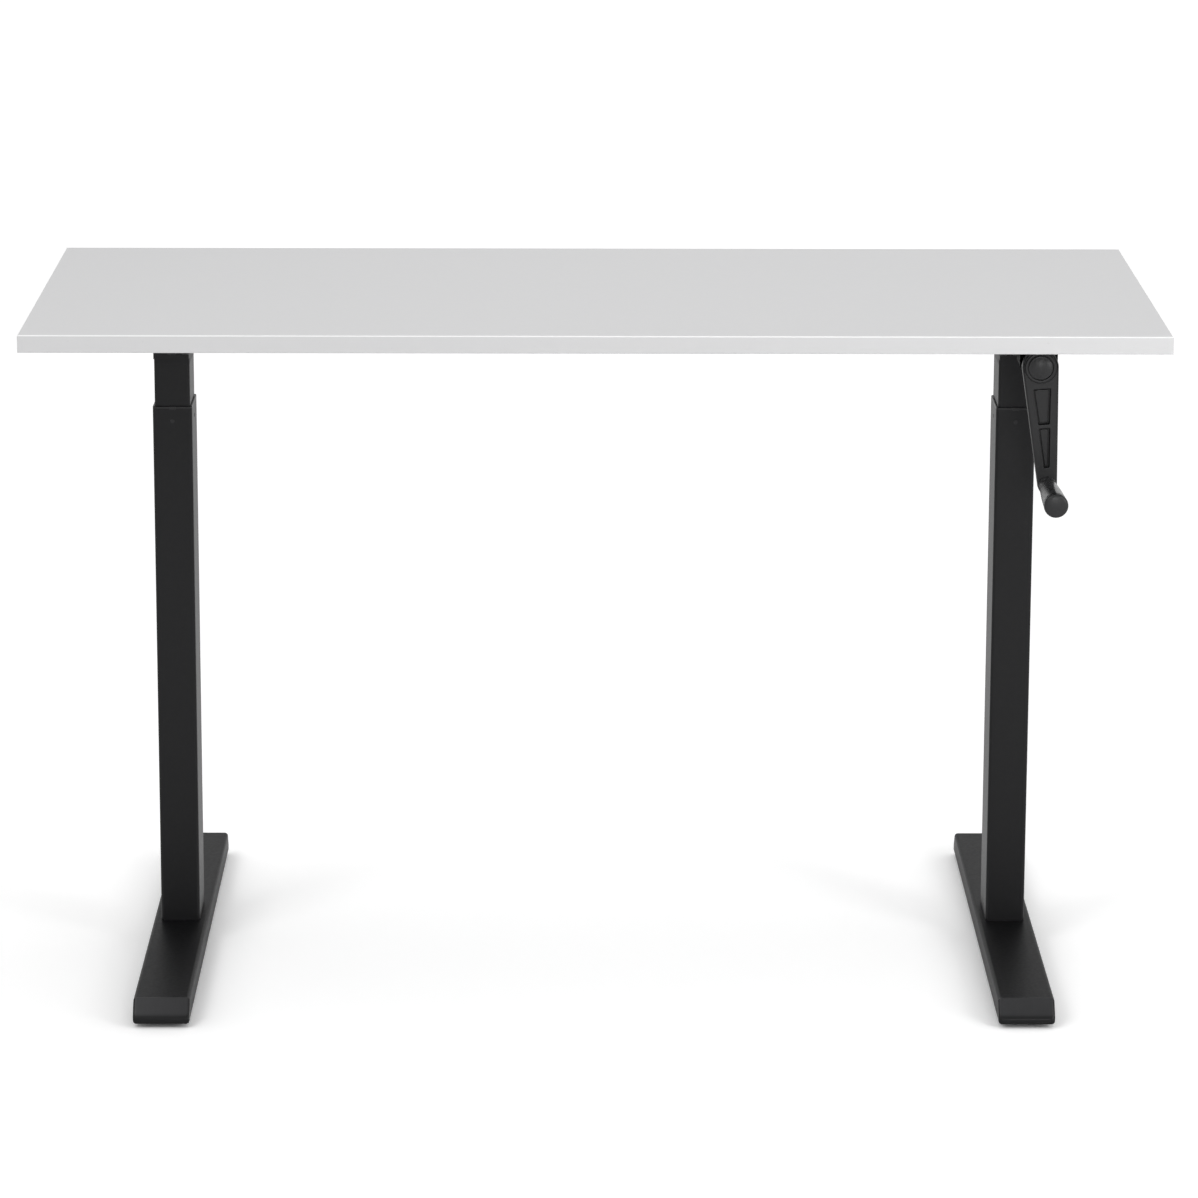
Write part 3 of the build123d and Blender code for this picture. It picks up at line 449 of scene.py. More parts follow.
@dataclass(frozen=True)
class MouldedPlastic:
    """Black moulded plastic with a spark-eroded grain and a faint flow pattern.

    Attributes:
        name: The material's name.
        colour: The plastic's colour.
        roughness: Middle of its roughness.
        grain: Cells per metre of the eroded grain.
        depth: Strength of the grain.
        gloss: Strength of its mirror part.
    """

    name: str
    colour: Colour
    roughness: float
    grain: float = 1400.0
    depth: float = 0.18
    gloss: float = 0.3

    def build(self) -> Material:
        """Makes the material.

        Returns:
            The finished material.
        """
        tree = NodeTree(self.name)
        flow = tree.noise(60, 5.0, (1, 1, 0.3))
        colour = tree.mix(flow, self.colour, toned(self.colour, 1.2))
        handled = tree.uneven(tree.noise(180, 5.0), self.roughness, 0.04, 0.05, (0.25, 0.75))
        fine = tree.bump(tree.cells(self.grain), self.depth, 0.00006)
        normal = tree.bump(tree.noise(70, 2.0), 0.05, 0.0002, fine)
        return tree.finish(colour, handled, normal, Specular_IOR_Level=self.gloss)


@dataclass(frozen=True)
class ScuffedCap:
    """Black plastic of the foot caps, with a painted sheen: their sloping faces are painted greyer,
    in faint streaks.

    Attributes:
        colour: The plastic's colour.
        scuffed: Colour of the sheen painted on the sloping faces.
        roughness: Middle of its roughness.
        gloss: Strength of its mirror part.
    """

    colour: Colour = (0.005, 0.005, 0.0055)
    scuffed: Colour = (0.03, 0.03, 0.0315)
    roughness: float = 0.34
    gloss: float = 0.18

    def build(self) -> Material:
        """Makes the material.

        Returns:
            The finished material.
        """
        tree = NodeTree("foot_cap_plastic")
        # Painted sheen: faces that slope up are painted a paler, streaked grey where they would
        # catch the light.
        sloping = tree.tilt([(0.5, 0.0), (0.6, 1.0), (0.8, 1.0), (0.9, 0.0)])
        streaks = tree.noise(90, 6.0, (1.0, 0.3, 0.3))
        sheen_variation = tree.mix(streaks, toned(self.scuffed, 0.8), toned(self.scuffed, 1.2))
        colour = tree.mix(sloping, self.colour, sheen_variation)
        roughness = tree.uneven(streaks, self.roughness, 0.05, 0.06)
        normal = tree.bump(tree.cells(1100), 0.12, 0.00006)
        return tree.finish(colour, roughness, normal, Specular_IOR_Level=self.gloss)


@dataclass(frozen=True)
class PlatedSteel:
    """Zinc-plated steel with turning marks and a faint bluish bloom.

    Attributes:
        name: The material's name.
        colour: The plating's colour.
        roughness: Middle of its roughness.
        along: The axis that the marks run round.
        smear: How little the marks change round that axis, as a share of their change along it.
    """

    name: str = "bare_steel"
    colour: Colour = (0.44, 0.45, 0.47)
    roughness: float = 0.3
    along: Along = Along.Z
    smear: float = 0.05

    def build(self) -> Material:
        """Makes the material.

        Returns:
            The finished material.
        """
        tree = NodeTree(self.name)
        stretch = tuple(1.0 if axis is self.along else self.smear for axis in Along)
        marks = tree.noise(1600, 3.0, stretch)
        colour = tree.mix(tree.noise(30, 5.0), self.colour, toned(self.colour, 0.8))
        roughness = tree.uneven(marks, self.roughness, 0.08, 0.12)
        normal = tree.bump(marks, 0.12, 0.00005)
        return tree.finish(colour, roughness, normal, Metallic=1.0)


@dataclass(frozen=True)
class BearingBronze:
    """Machined bearing bronze, tarnished in patches.

    Attributes:
        colour: The clean bronze's colour.
        tarnished: Colour of the tarnished patches.
        roughness: Middle of its roughness.
    """

    colour: Colour = (0.55, 0.37, 0.16)
    tarnished: Colour = (0.22, 0.13, 0.06)
    roughness: float = 0.35

    def build(self) -> Material:
        """Makes the material.

        Returns:
            The finished material.
        """
        tree = NodeTree("bronze")
        patches = tree.ramp(tree.noise(90, 6.0), [(0.4, 0.0), (0.75, 1.0)])
        colour = tree.mix(patches, self.colour, self.tarnished)
        roughness = tree.uneven(tree.noise(200, 4.0), self.roughness, 0.1, 0.1)
        normal = tree.bump(tree.noise(900, 2.0), 0.1, 0.00008)
        return tree.finish(colour, roughness, normal, Metallic=1.0)


@dataclass(frozen=True)
class CastHousing:
    """Die-cast housing in black paint: a slightly sandier skin than the tubes.

    Attributes:
        colour: The paint's colour.
        roughness: Middle of its roughness.
        gloss: Strength of its mirror part.
        sand: Cells per metre of the sandy skin.
    """

    colour: Colour = (0.0085, 0.0085, 0.0092)
    roughness: float = 0.5
    gloss: float = 0.16
    sand: float = 700.0

    def build(self) -> Material:
        """Makes the material.

        Returns:
            The finished material.
        """
        tree = NodeTree("cast_housing")
        colour = tree.mix(tree.noise(120, 5.0), self.colour, toned(self.colour, 1.4))
        roughness = tree.uneven(tree.noise(200, 5.0), self.roughness, 0.04, 0.06)
        sand = tree.bump(tree.cells(self.sand), 0.3, 0.00018)
        normal = tree.bump(tree.noise(80, 3.0), 0.06, 0.0003, sand)
        return tree.finish(colour, roughness, normal, Specular_IOR_Level=self.gloss)


# --------------------------------------------------------------------------------------------
# Dressing the frame
# --------------------------------------------------------------------------------------------
@dataclass
class Finishes:
    """Every finish of the desk, made once and found by its slot's name.

    Attributes:
        slots: The material of each slot in the record.
        extra: Finishes for single nodes that differ from their slot's usual one.
        slot_names: The record's slot of each node.
        bodies: The body that each node rides on.
    """

    slots: dict[str, Material] = field(default_factory=dict)
    extra: dict[str, Material] = field(default_factory=dict)
    slot_names: dict[str, str] = field(default_factory=dict)
    bodies: dict[str, str] = field(default_factory=dict)

    def make(self) -> None:
        """Builds all the materials."""
        usual = {
            "white_board": WhiteBoard(),
            "white_band": WhiteBand(),
            "black_steel": PowderCoat(),
            "black_plastic": MouldedPlastic("black_plastic", (0.0074, 0.0074, 0.008), 0.38),
            "knob_plastic": MouldedPlastic(
                "knob_plastic", (0.014, 0.014, 0.015), 0.25, grain=1800, depth=0.1
            ),
            "bare_steel": PlatedSteel(),
            "bronze": BearingBronze(),
            "cast_housing": CastHousing(),
            "pad_plastic": MouldedPlastic(
                "pad_plastic", (0.015, 0.015, 0.015), 0.55, grain=700, depth=0.3
            ),
        }
        self.slots = {slot: finish.build() for slot, finish in usual.items()}
        turned = PlatedSteel("turned_steel", along=Along.Y).build()
        foot_cap = ScuffedCap().build()
        foot_coat = PowderCoat("foot_coat", (0.005, 0.005, 0.0055), gloss=0.06).build()
        domed = MouldedPlastic(
            "domed_plastic", (0.0075, 0.0075, 0.0082), 0.36, grain=1800, depth=0.08, gloss=0.34
        ).build()
        dull = MouldedPlastic(
            "dull_plastic", (0.008, 0.008, 0.0085), 0.66, grain=900, depth=0.3, gloss=0.08
        ).build()
        blackened = PowderCoat("blackened_steel", roughness=0.35, gloss=0.3, peel=1500.0).build()
        self.extra = {"crank_shaft": turned, "knob_pin": turned, "frame_bolts": blackened}
        self.extra |= {"hub_cap": domed, "knob_cap": domed, "crank_guide": dull}
        for side in Side:
            self.extra[f"{side.word}_foot_tube"] = foot_coat
            self.extra[f"{side.word}_housing_cover"] = blackened
            for end in End:
                self.extra[f"{side.word}_foot_cap_{end.word}"] = foot_cap

    def of(self, node: str) -> Material:
        """The finish that a node's own pieces take."""
        return self.extra.get(node, self.slots[self.slot_names[node]])

    def dress(self, frame: dict) -> None:
        """Gives every node of the frame its finish.
        """
        for body, members in frame["record"]["behaviour"]["bodies"].items():
            self.bodies.update(dict.fromkeys(members, body))
        for row in frame["record"]["subparts"]:
            node = row["node"]
            self.slot_names[node] = row["material_slot"]
            shown = frame["nodes"][node]
            shown.data.materials.clear()
            shown.data.materials.append(self.of(node))
            log.info("dressed %s in %s", node, self.of(node).name)


# --------------------------------------------------------------------------------------------
# Mesh building and placing
# --------------------------------------------------------------------------------------------
class Sculpt:
    """A mesh under construction: closed loops of points joined into skins."""

    SHARP = math.radians(38)

    def __init__(self) -> None:
        """Starts an empty mesh."""
        self.net = bmesh.new()

    def loop(self, points: Iterable[Sequence[float]]) -> Loop:
        """Adds a closed loop of points.

        Args:
            points: The points in order.

        Returns:
            Their vertices.
        """
        return [self.net.verts.new(p) for p in points]

    def skin(self, loops: Sequence[Loop]) -> None:
        """Joins each loop to the next with a ring of faces; a loop of one point closes to a tip.

        Args:
            loops: The loops, each with as many points as the others or with one.
        """
        for low, high in zip(loops, loops[1:]):
            count = max(len(low), len(high))
            for k in range(count):
                places = ((low, k), (low, (k + 1) % count), (high, (k + 1) % count), (high, k))
                corners = list(dict.fromkeys(ring[spot % len(ring)] for ring, spot in places))
                if len(corners) > 2:
                    self.net.faces.new(corners)

    def cover(self, *loops: Loop) -> None:
        """Closes a flat region: the first loop is its border and the others are holes in it.

        Args:
            loops: The loops, which lie in one plane.
        """
        if len(loops) == 1:
            self.net.faces.new(loops[0])
            return
        edges = []
        for loop in loops:
            for k, vert in enumerate(loop):
                pair = (vert, loop[(k + 1) % len(loop)])
                edges.append(self.net.edges.get(pair) or self.net.edges.new(pair))
        bmesh.ops.triangle_fill(self.net, use_beauty=True, use_dissolve=False, edges=edges)

    def dish(self, outlines: Iterable[Sequence[Point]]) -> Loop:
        """Skins a run of outlines and closes the last of them.

        Args:
            outlines: The points of each outline, from the open end to the closed one.

        Returns:
            The loop at the open end.
        """
        loops = [self.loop(points) for points in outlines]
        self.skin(loops)
        self.cover(loops[-1])
        return loops[0]

    def mesh(self, frame: Matrix) -> Mesh:
        """Finishes the mesh: smooth over its roundings, sharp at its corners.

        Args:
            frame: Where the points' own frame stands in the desk's.

        Returns:
            The mesh.
        """
        bmesh.ops.recalc_face_normals(self.net, faces=self.net.faces)
        bmesh.ops.transform(self.net, matrix=frame, verts=self.net.verts)
        for face in self.net.faces:
            face.smooth = True
        made = bpy.data.meshes.new("piece")
        self.net.to_mesh(made)
        self.net.free()
        made.set_sharp_from_angle(angle=self.SHARP)
        return made


def circle(radius: float, height: float, steps: int = 72) -> list[Point]:
    """Points of a circle about the local Z axis.

    Args:
        radius: Its radius.
        height: Its place along Z.
        steps: How many points.

    Returns:
        The points.
    """
    turns = (2 * math.pi * k / steps for k in range(steps))
    return [(radius * math.cos(t), radius * math.sin(t), height) for t in turns]


def lathe(profile: Sequence[Pair], frame: Matrix, steps: int = 72) -> Mesh:
    """Turns a profile about the local Z axis of a frame.

    Args:
        profile: Pairs of radius and height; a radius of 0 closes the skin to a tip.
        frame: Where the profile's frame stands.
        steps: Divisions of the full turn.

    Returns:
        The turned mesh.
    """
    work = Sculpt()
    rings = [work.loop(circle(r, h, steps) if r > 0 else [(0, 0, h)]) for r, h in profile]
    work.skin(rings)
    return work.mesh(frame)


def arc(centre: Pair, radius: float, start: float, end: float, steps: int) -> list[Pair]:
    """Points of an arc in a profile.

    Args:
        centre: Its centre.
        radius: Its radius.
        start: First angle in degrees, anticlockwise from the profile's first axis.
        end: Last angle in degrees.
        steps: How many spans the arc has.

    Returns:
        The points, both ends included.
    """
    turns = (math.radians(start + (end - start) * k / steps) for k in range(steps + 1))
    return [(centre[0] + radius * math.cos(t), centre[1] + radius * math.sin(t)) for t in turns]


def dome(radius: float, low: float, high: float, spans: int) -> list[Pair]:
    """Points of a domed end in a profile.

    Args:
        radius: Its radius at the rim.
        low: The rim's height.
        high: The height of its top, on the axis.
        spans: How many spans it has.

    Returns:
        The points, from the rim to the top.
    """
    shares = (1 - k / spans for k in range(spans + 1))
    return [(radius * share, low + (high - low) * (1 - share**2)) for share in shares]


def middle(node: str) -> Vector:
    """Centre of a CAD node's box at rest."""
    low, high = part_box(node)
    return (low + high) / 2


def standing(x: float, y: float, z: float) -> Matrix:
    """A frame in millimetres, square to the desk, with its origin at a place in metres."""
    return Matrix.Translation((x, y, z)) @ Matrix.Scale(MM, 4)


def facing(origin: Sequence[float], normal: Sequence[float], up: Sequence[float]) -> Matrix:
    """A frame in millimetres, with its Z axis along a normal and its Y axis square to it.

    Args:
        origin: Its origin, in metres.
        normal: Direction of its Z axis.
        up: Direction of its Y axis, square to the normal.

    Returns:
        The frame's matrix.
    """
    z, y = Vector(normal).normalized(), Vector(up).normalized()
    turn = Matrix((y.cross(z), y, z)).transposed().to_4x4()
    return Matrix.Translation(Vector(origin)) @ turn @ Matrix.Scale(MM, 4)


def show(name: str, data: bpy.types.ID) -> bpy.types.Object:
    """Puts a mesh, a lamp or a camera into the scene.

    Args:
        name: The object's name.
        data: The mesh, lamp or camera.

    Returns:
        The object.
    """
    made = bpy.data.objects.new(name, data)
    bpy.context.scene.collection.objects.link(made)
    return made


@dataclass
class Assembly:
    """What every dressed sub-assembly shares: its finishes and how a piece is put in place.

    Attributes:
        finishes: The desk's finishes.
    """

    finishes: Finishes

    def place(self, name: str, mesh: Mesh, node: str) -> None:
        """Puts a detailed piece where a CAD node is, on the same body and in the same slot.

        Args:
            name: The piece's name.
            mesh: Its mesh, in the desk's frame.
            node: The CAD node that it stands for.
        """
        mesh.name = name
        mesh.materials.append(self.finishes.of(node))
        piece = show(name, mesh)
        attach(piece, self.finishes.bodies[node])
        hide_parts(node)
        log.info("built %s for %s", name, node)


# --------------------------------------------------------------------------------------------
# Crank
# --------------------------------------------------------------------------------------------
@dataclass
class Crank(Assembly):
    """The hand crank's arm and hub cap, in millimetres of the arm's own frame.

    Attributes:
        hub_radius: Radius of the arm's broad end.
        end_radius: Radius of the arm's narrow end.
        thickness: The arm's thickness.
        ease: Rounding of the arm's front edge.
        pockets: Each pocket's two distances from the hub and its half width at each.
        pocket_corner: Rounding of a pocket's corners.
        panel_drop: How far a pocket's floor lies below the face.
        moat_drop: How far the moat round that floor lies below the face.
        moat_width: Width of the moat.
        boss_radius: Outer radius of the raised ring round the cap.
        boss_height: Height of that ring.
        cap_radius: Radius of the hub cap.
        cap_rim: Height of the cap's rim.
        cap_top: Height of the cap's dome.
        cap_ease: Rounding of the cap's rim.
        frame: The arm's frame, with its origin on the hub's axis and at the arm's face.
        length: Distance from the hub's axis to the grip's.
    """

    hub_radius: float = 22.5
    end_radius: float = 12.0
    thickness: float = 12.0
    ease: float = 1.6
    pockets: Sequence[tuple[float, float, float, float]] = (
        (27.0, 72.5, 11.0, 7.4),
        (77.0, 127.5, 7.3, 3.8),
    )
    pocket_corner: float = 1.8
    panel_drop: float = 4.2
    moat_drop: float = 7.0
    moat_width: float = 2.2
    boss_radius: float = 19.0
    boss_height: float = 1.5
    cap_radius: float = 15.0
    cap_rim: float = 2.6
    cap_top: float = 4.9
    cap_ease: float = 1.2
    frame: Matrix = field(init=False)
    length: float = field(init=False)

    def build(self) -> None:
        """Makes the arm and its cap."""
        hub, pin = middle("hub_cap"), middle("knob_pin")
        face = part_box("crank_arm")[1].y - self.thickness * MM
        self.frame = facing((hub.x, face, hub.z), TO_USER, (hub.x - pin.x, 0, hub.z - pin.z))
        self.length = math.hypot(hub.x - pin.x, hub.z - pin.z) / MM
        self.place("crank_arm_moulding", self.arm(), "crank_arm")
        self.place("crank_hub_cap", self.cap(), "hub_cap")

    def outline(self, inset: float, height: float, steps: int = 40) -> list[Point]:
        """The arm's outline: two arcs joined by their common tangents.

        Args:
            inset: Distance that it lies inside the widest outline.
            height: Its height over the arm's face.
            steps: Spans of each arc.

        Returns:
            Its points.
        """
        hub, end = self.hub_radius - inset, self.end_radius - inset
        tilt = math.degrees(math.asin((self.hub_radius - self.end_radius) / self.length))
        points = arc((0, 0), hub, -tilt, 180 + tilt, steps)
        points += arc((0, -self.length), end, 180 + tilt, 360 - tilt, steps)
        return [(u, v, height) for u, v in points]

    def taper(self, shape: Sequence[float], inset: float, height: float) -> list[Point]:
        """A tapered pocket's outline with rounded corners.

        Args:
            shape: Its two distances from the hub and its half width at each.
            inset: Distance that it lies inside the pocket's mouth.
            height: Its height over the arm's face.

        Returns:
            Its points.
        """
        near, far, wide, narrow = shape
        corner = max(self.pocket_corner - inset, 0.3)
        corners = (
            (wide - inset, -near - inset, 0),
            (narrow - inset, -far + inset, -90),
            (-narrow + inset, -far + inset, -180),
            (-wide + inset, -near - inset, -270),
        )
        points = []
        for u, v, turn in corners:
            middle_u = u - math.copysign(corner, u)
            middle_v = v - math.copysign(corner, v + (near + far) / 2)
            points += arc((middle_u, middle_v), corner, turn + 90, turn, 5)
        return [(u, v, height) for u, v in points]

    def arm(self) -> Mesh:
        """The tapered arm: rounded edge, ringed hub, and two pockets with a moat round each floor.

        Returns:
            Its mesh.
        """
        work = Sculpt()
        borders = [self.rim(work)]
        borders += [self.pocket(work, shape) for shape in self.pockets]
        borders.append(self.boss(work))
        work.cover(*borders)
        return work.mesh(self.frame)

    def rim(self, work: Sculpt) -> Loop:
        """The arm's rounded front edge, its side and its back.

        Args:
            work: The mesh under construction.

        Returns:
            The loop that borders the arm's face.
        """
        ease, back = self.ease, -self.thickness
        slopes = [math.radians(15 * k) for k in range(7)]
        steps = [(ease + 0.5, 0.0)]
        steps += [(ease - ease * math.sin(a), -ease + ease * math.cos(a)) for a in slopes]
        steps += [(0.0, back + 1.0), (0.3, back + 0.3), (1.0, back), (1.5, back)]
        return work.dish(self.outline(inset, height) for inset, height in steps)

    def pocket(self, work: Sculpt, shape: Sequence[float]) -> Loop:
        """A pocket whose floor stands up inside a deeper moat.

        Args:
            work: The mesh under construction.
            shape: Its two distances from the hub and its half width at each.

        Returns:
            The loop round its mouth.
        """
        width, moat, panel = self.moat_width, -self.moat_drop, -self.panel_drop
        steps = (
            (-0.9, 0.0), (-0.5, 0.0), (-0.15, -0.12), (0.0, -0.45),
            (0.12, moat + 0.2), (0.3, moat), (width - 0.2, moat), (width, moat + 0.2),
            (width + 0.08, panel - 0.35), (width + 0.2, panel - 0.1),
            (width + 0.5, panel), (width + 0.9, panel),
        )
        return work.dish(self.taper(shape, inset, height) for inset, height in steps)

    def boss(self, work: Sculpt) -> Loop:
        """The raised ring on the hub, with the cap's seat inside it.

        Args:
            work: The mesh under construction.

        Returns:
            The loop round its foot.
        """
        ring, high, seat = self.boss_radius, self.boss_height, self.cap_radius + 0.9
        steps = (
            (ring + 2.2, 0.0), (ring + 1.8, 0.0), (ring + 1.5, -0.15), (ring + 1.3, -0.6),
            (ring + 0.5, -0.6), (ring + 0.2, -0.4), (ring, 0.2), (ring - 0.1, high - 0.6),
            (ring - 0.35, high - 0.2), (ring - 0.8, high), (ring - 1.1, high),
            (seat + 0.7, high), (seat + 0.25, high - 0.15), (seat, high - 0.6),
            (seat, -1.0), (seat - 3.0, -1.0),
        )
        return work.dish(circle(radius, height) for radius, height in steps)

    def cap(self) -> Mesh:
        """The domed cap on the hub, with a soft rim.

        Returns:
            Its mesh.
        """
        radius, ease = self.cap_radius, self.cap_ease
        shoulder = self.cap_rim - ease
        profile = [(0, -0.9), (radius - 0.4, -0.9), (radius - 0.1, -0.6), (radius, 0.0)]
        profile.append((radius, shoulder))
        profile += arc((radius - ease, shoulder), ease, 10, 75, 5)
        profile += dome(radius - 1.3, self.cap_rim, self.cap_top, 10)
        return lathe(profile, self.frame)


@dataclass
class Grip(Assembly):
    """The crank's turning grip, in millimetres of its own frame, with height 0 at the arm.

    Attributes:
        bore: Radius of the hole for the pin.
        sink: Radius of the hole's wider part, behind the domed end.
        collar: Radius of the collar at the arm.
        waist: Radius of the waist behind the collar.
        waist_height: Height of the waist.
        swell: How much fuller the body is than a plain taper, as a share of its length.
        radius: Radius of the free end.
        end_length: Length of the domed end.
        end_side: How far the domed end's round side stops short of its top.
        end_ease: Rounding of the domed end's rim.
        around: Divisions of the full turn.
    """

    bore: float = 4.4
    sink: float = 9.5
    collar: float = 11.5
    waist: float = 10.5
    waist_height: float = 5.2
    swell: float = 0.16
    radius: float = 15.0
    end_length: float = 7.0
    end_side: float = 4.6
    end_ease: float = 3.4
    around: int = 96

    def build(self) -> None:
        """Makes the grip's body and its domed end."""
        pin, foot = middle("knob_pin"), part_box("knob_sleeve")[1].y
        frame = facing((pin.x, foot, pin.z), TO_USER, UP)
        reach = (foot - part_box("knob_cap")[0].y) / MM
        self.place("crank_grip", self.body(frame, reach), "knob_sleeve")
        self.place("crank_grip_end", self.end(frame, reach), "knob_cap")

    def body(self, frame: Matrix, reach: float) -> Mesh:
        """The grip: a collar at the arm, a waist, and a body that swells to its free end.

        Args:
            frame: Its frame, with the arm's face at height 0.
            reach: Height of the grip's free end.

        Returns:
            Its mesh.
        """
        collar, waist, low = self.collar, self.waist, self.waist_height
        end, seam = self.radius, reach - self.end_length
        profile = [(self.bore, 0.0), (collar - 0.6, 0.0)]
        profile += arc((collar - 0.6, 0.6), 0.6, -90, 0, 4)
        profile += arc((collar - 0.8, 3.4), 0.8, 0, 80, 5)
        profile += [(waist + 0.15, low - 0.7), (waist, low)]
        spans = 16
        for k in range(1, spans + 1):
            share = k / spans
            full = min(share + self.swell * math.sin(math.pi * share), 1.0)
            profile.append((waist + (end - 0.25 - waist) * full, low + (seam - 0.6 - low) * share))
        profile += [(end - 0.45, seam - 0.25), (end - 0.9, seam - 0.1), (self.sink, seam - 0.1)]
        profile += [(self.sink, seam - 7.0), (self.bore, seam - 7.0)]
        return lathe([*profile, profile[0]], frame, self.around)

    def end(self, frame: Matrix, reach: float) -> Mesh:
        """The grip's domed end, with a fine step behind it.

        Args:
            frame: The grip's frame.
            reach: Height of the grip's free end.

        Returns:
            Its mesh.
        """
        end, seam, ease = self.radius, reach - self.end_length, self.end_ease
        side = reach - self.end_side
        profile = [(0, seam - 0.05), (end - 1.2, seam - 0.05), (end - 0.9, seam + 0.35)]
        profile += [(end - 0.35, seam + 0.45), (end - 0.05, seam + 0.8), (end, seam + 1.4)]
        profile.append((end, side))
        profile += arc((end - ease, side), ease, 8, 64, 7)
        profile += dome(*profile[-1], reach, 9)[1:]
        return lathe(profile, frame, self.around)


# --------------------------------------------------------------------------------------------
# Crank guide
# --------------------------------------------------------------------------------------------
@dataclass
class CrankGuide(Assembly):
    """The moulded block under the board that the crank's tube runs in, in millimetres.

    Attributes:
        body_width: Width of the block between its two screw flanges.
        flange: Thickness of the flanges.
        chamfer: Chamfer of the block's lower corners.
        bore: Radius of the hole for the tube.
        lip: Width of the recess round the bore's mouth.
        step: Depth of that recess.
        ease: Rounding of the block's edges.
    """

    body_width: float = 47.0
    flange: float = 4.0
    chamfer: float = 12.0
    bore: float = 7.8
    lip: float = 2.5
    step: float = 1.2
    ease: float = 1.0

    def build(self) -> None:
        """Makes the block."""
        self.place("crank_guide_block", self.block(), "crank_guide")

    def block(self) -> Mesh:
        """The block with its flanges, eased edges and a stepped bore.

        Returns:
            Its mesh.
        """
        low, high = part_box("crank_guide")
        wide, deep, tall = (span / MM for span in high - low)
        half, under, cut = self.body_width / 2, tall - self.flange, self.chamfer
        right = [(cut - half, 0), (half - cut, 0), (half, cut), (half, under)]
        right += [(wide / 2, under), (wide / 2, tall)]
        outline = right + [(-u, v) for u, v in reversed(right[1:])]
        work = Sculpt()
        near, far = (work.loop([(u, y, v) for u, v in outline]) for y in (0.0, deep))
        work.skin([near, far])
        rise, mouth = (middle("crank_shaft").z - low.z) / MM, self.bore + self.lip
        bores = ((mouth, 0.0), (mouth - 0.2, self.step), (self.bore, self.step), (self.bore, deep))
        rings = [
            work.loop([(u, y, rise + v) for u, v, _ in circle(radius, 0, 48)])
            for radius, y in bores
        ]
        work.skin(rings)
        outer = dict.fromkeys(edge for vert in near + far for edge in vert.link_edges)
        work.cover(near, rings[0])
        work.cover(far, rings[-1])
        bend = math.radians(20)
        corners = [edge for edge in outer if edge.is_valid and edge.calc_face_angle(0) > bend]
        bmesh.ops.bevel(work.net, geom=corners, offset=self.ease, segments=3, profile=0.5,
                        affect="EDGES", clamp_overlap=True)
        return work.mesh(standing((low.x + high.x) / 2, low.y, low.z))


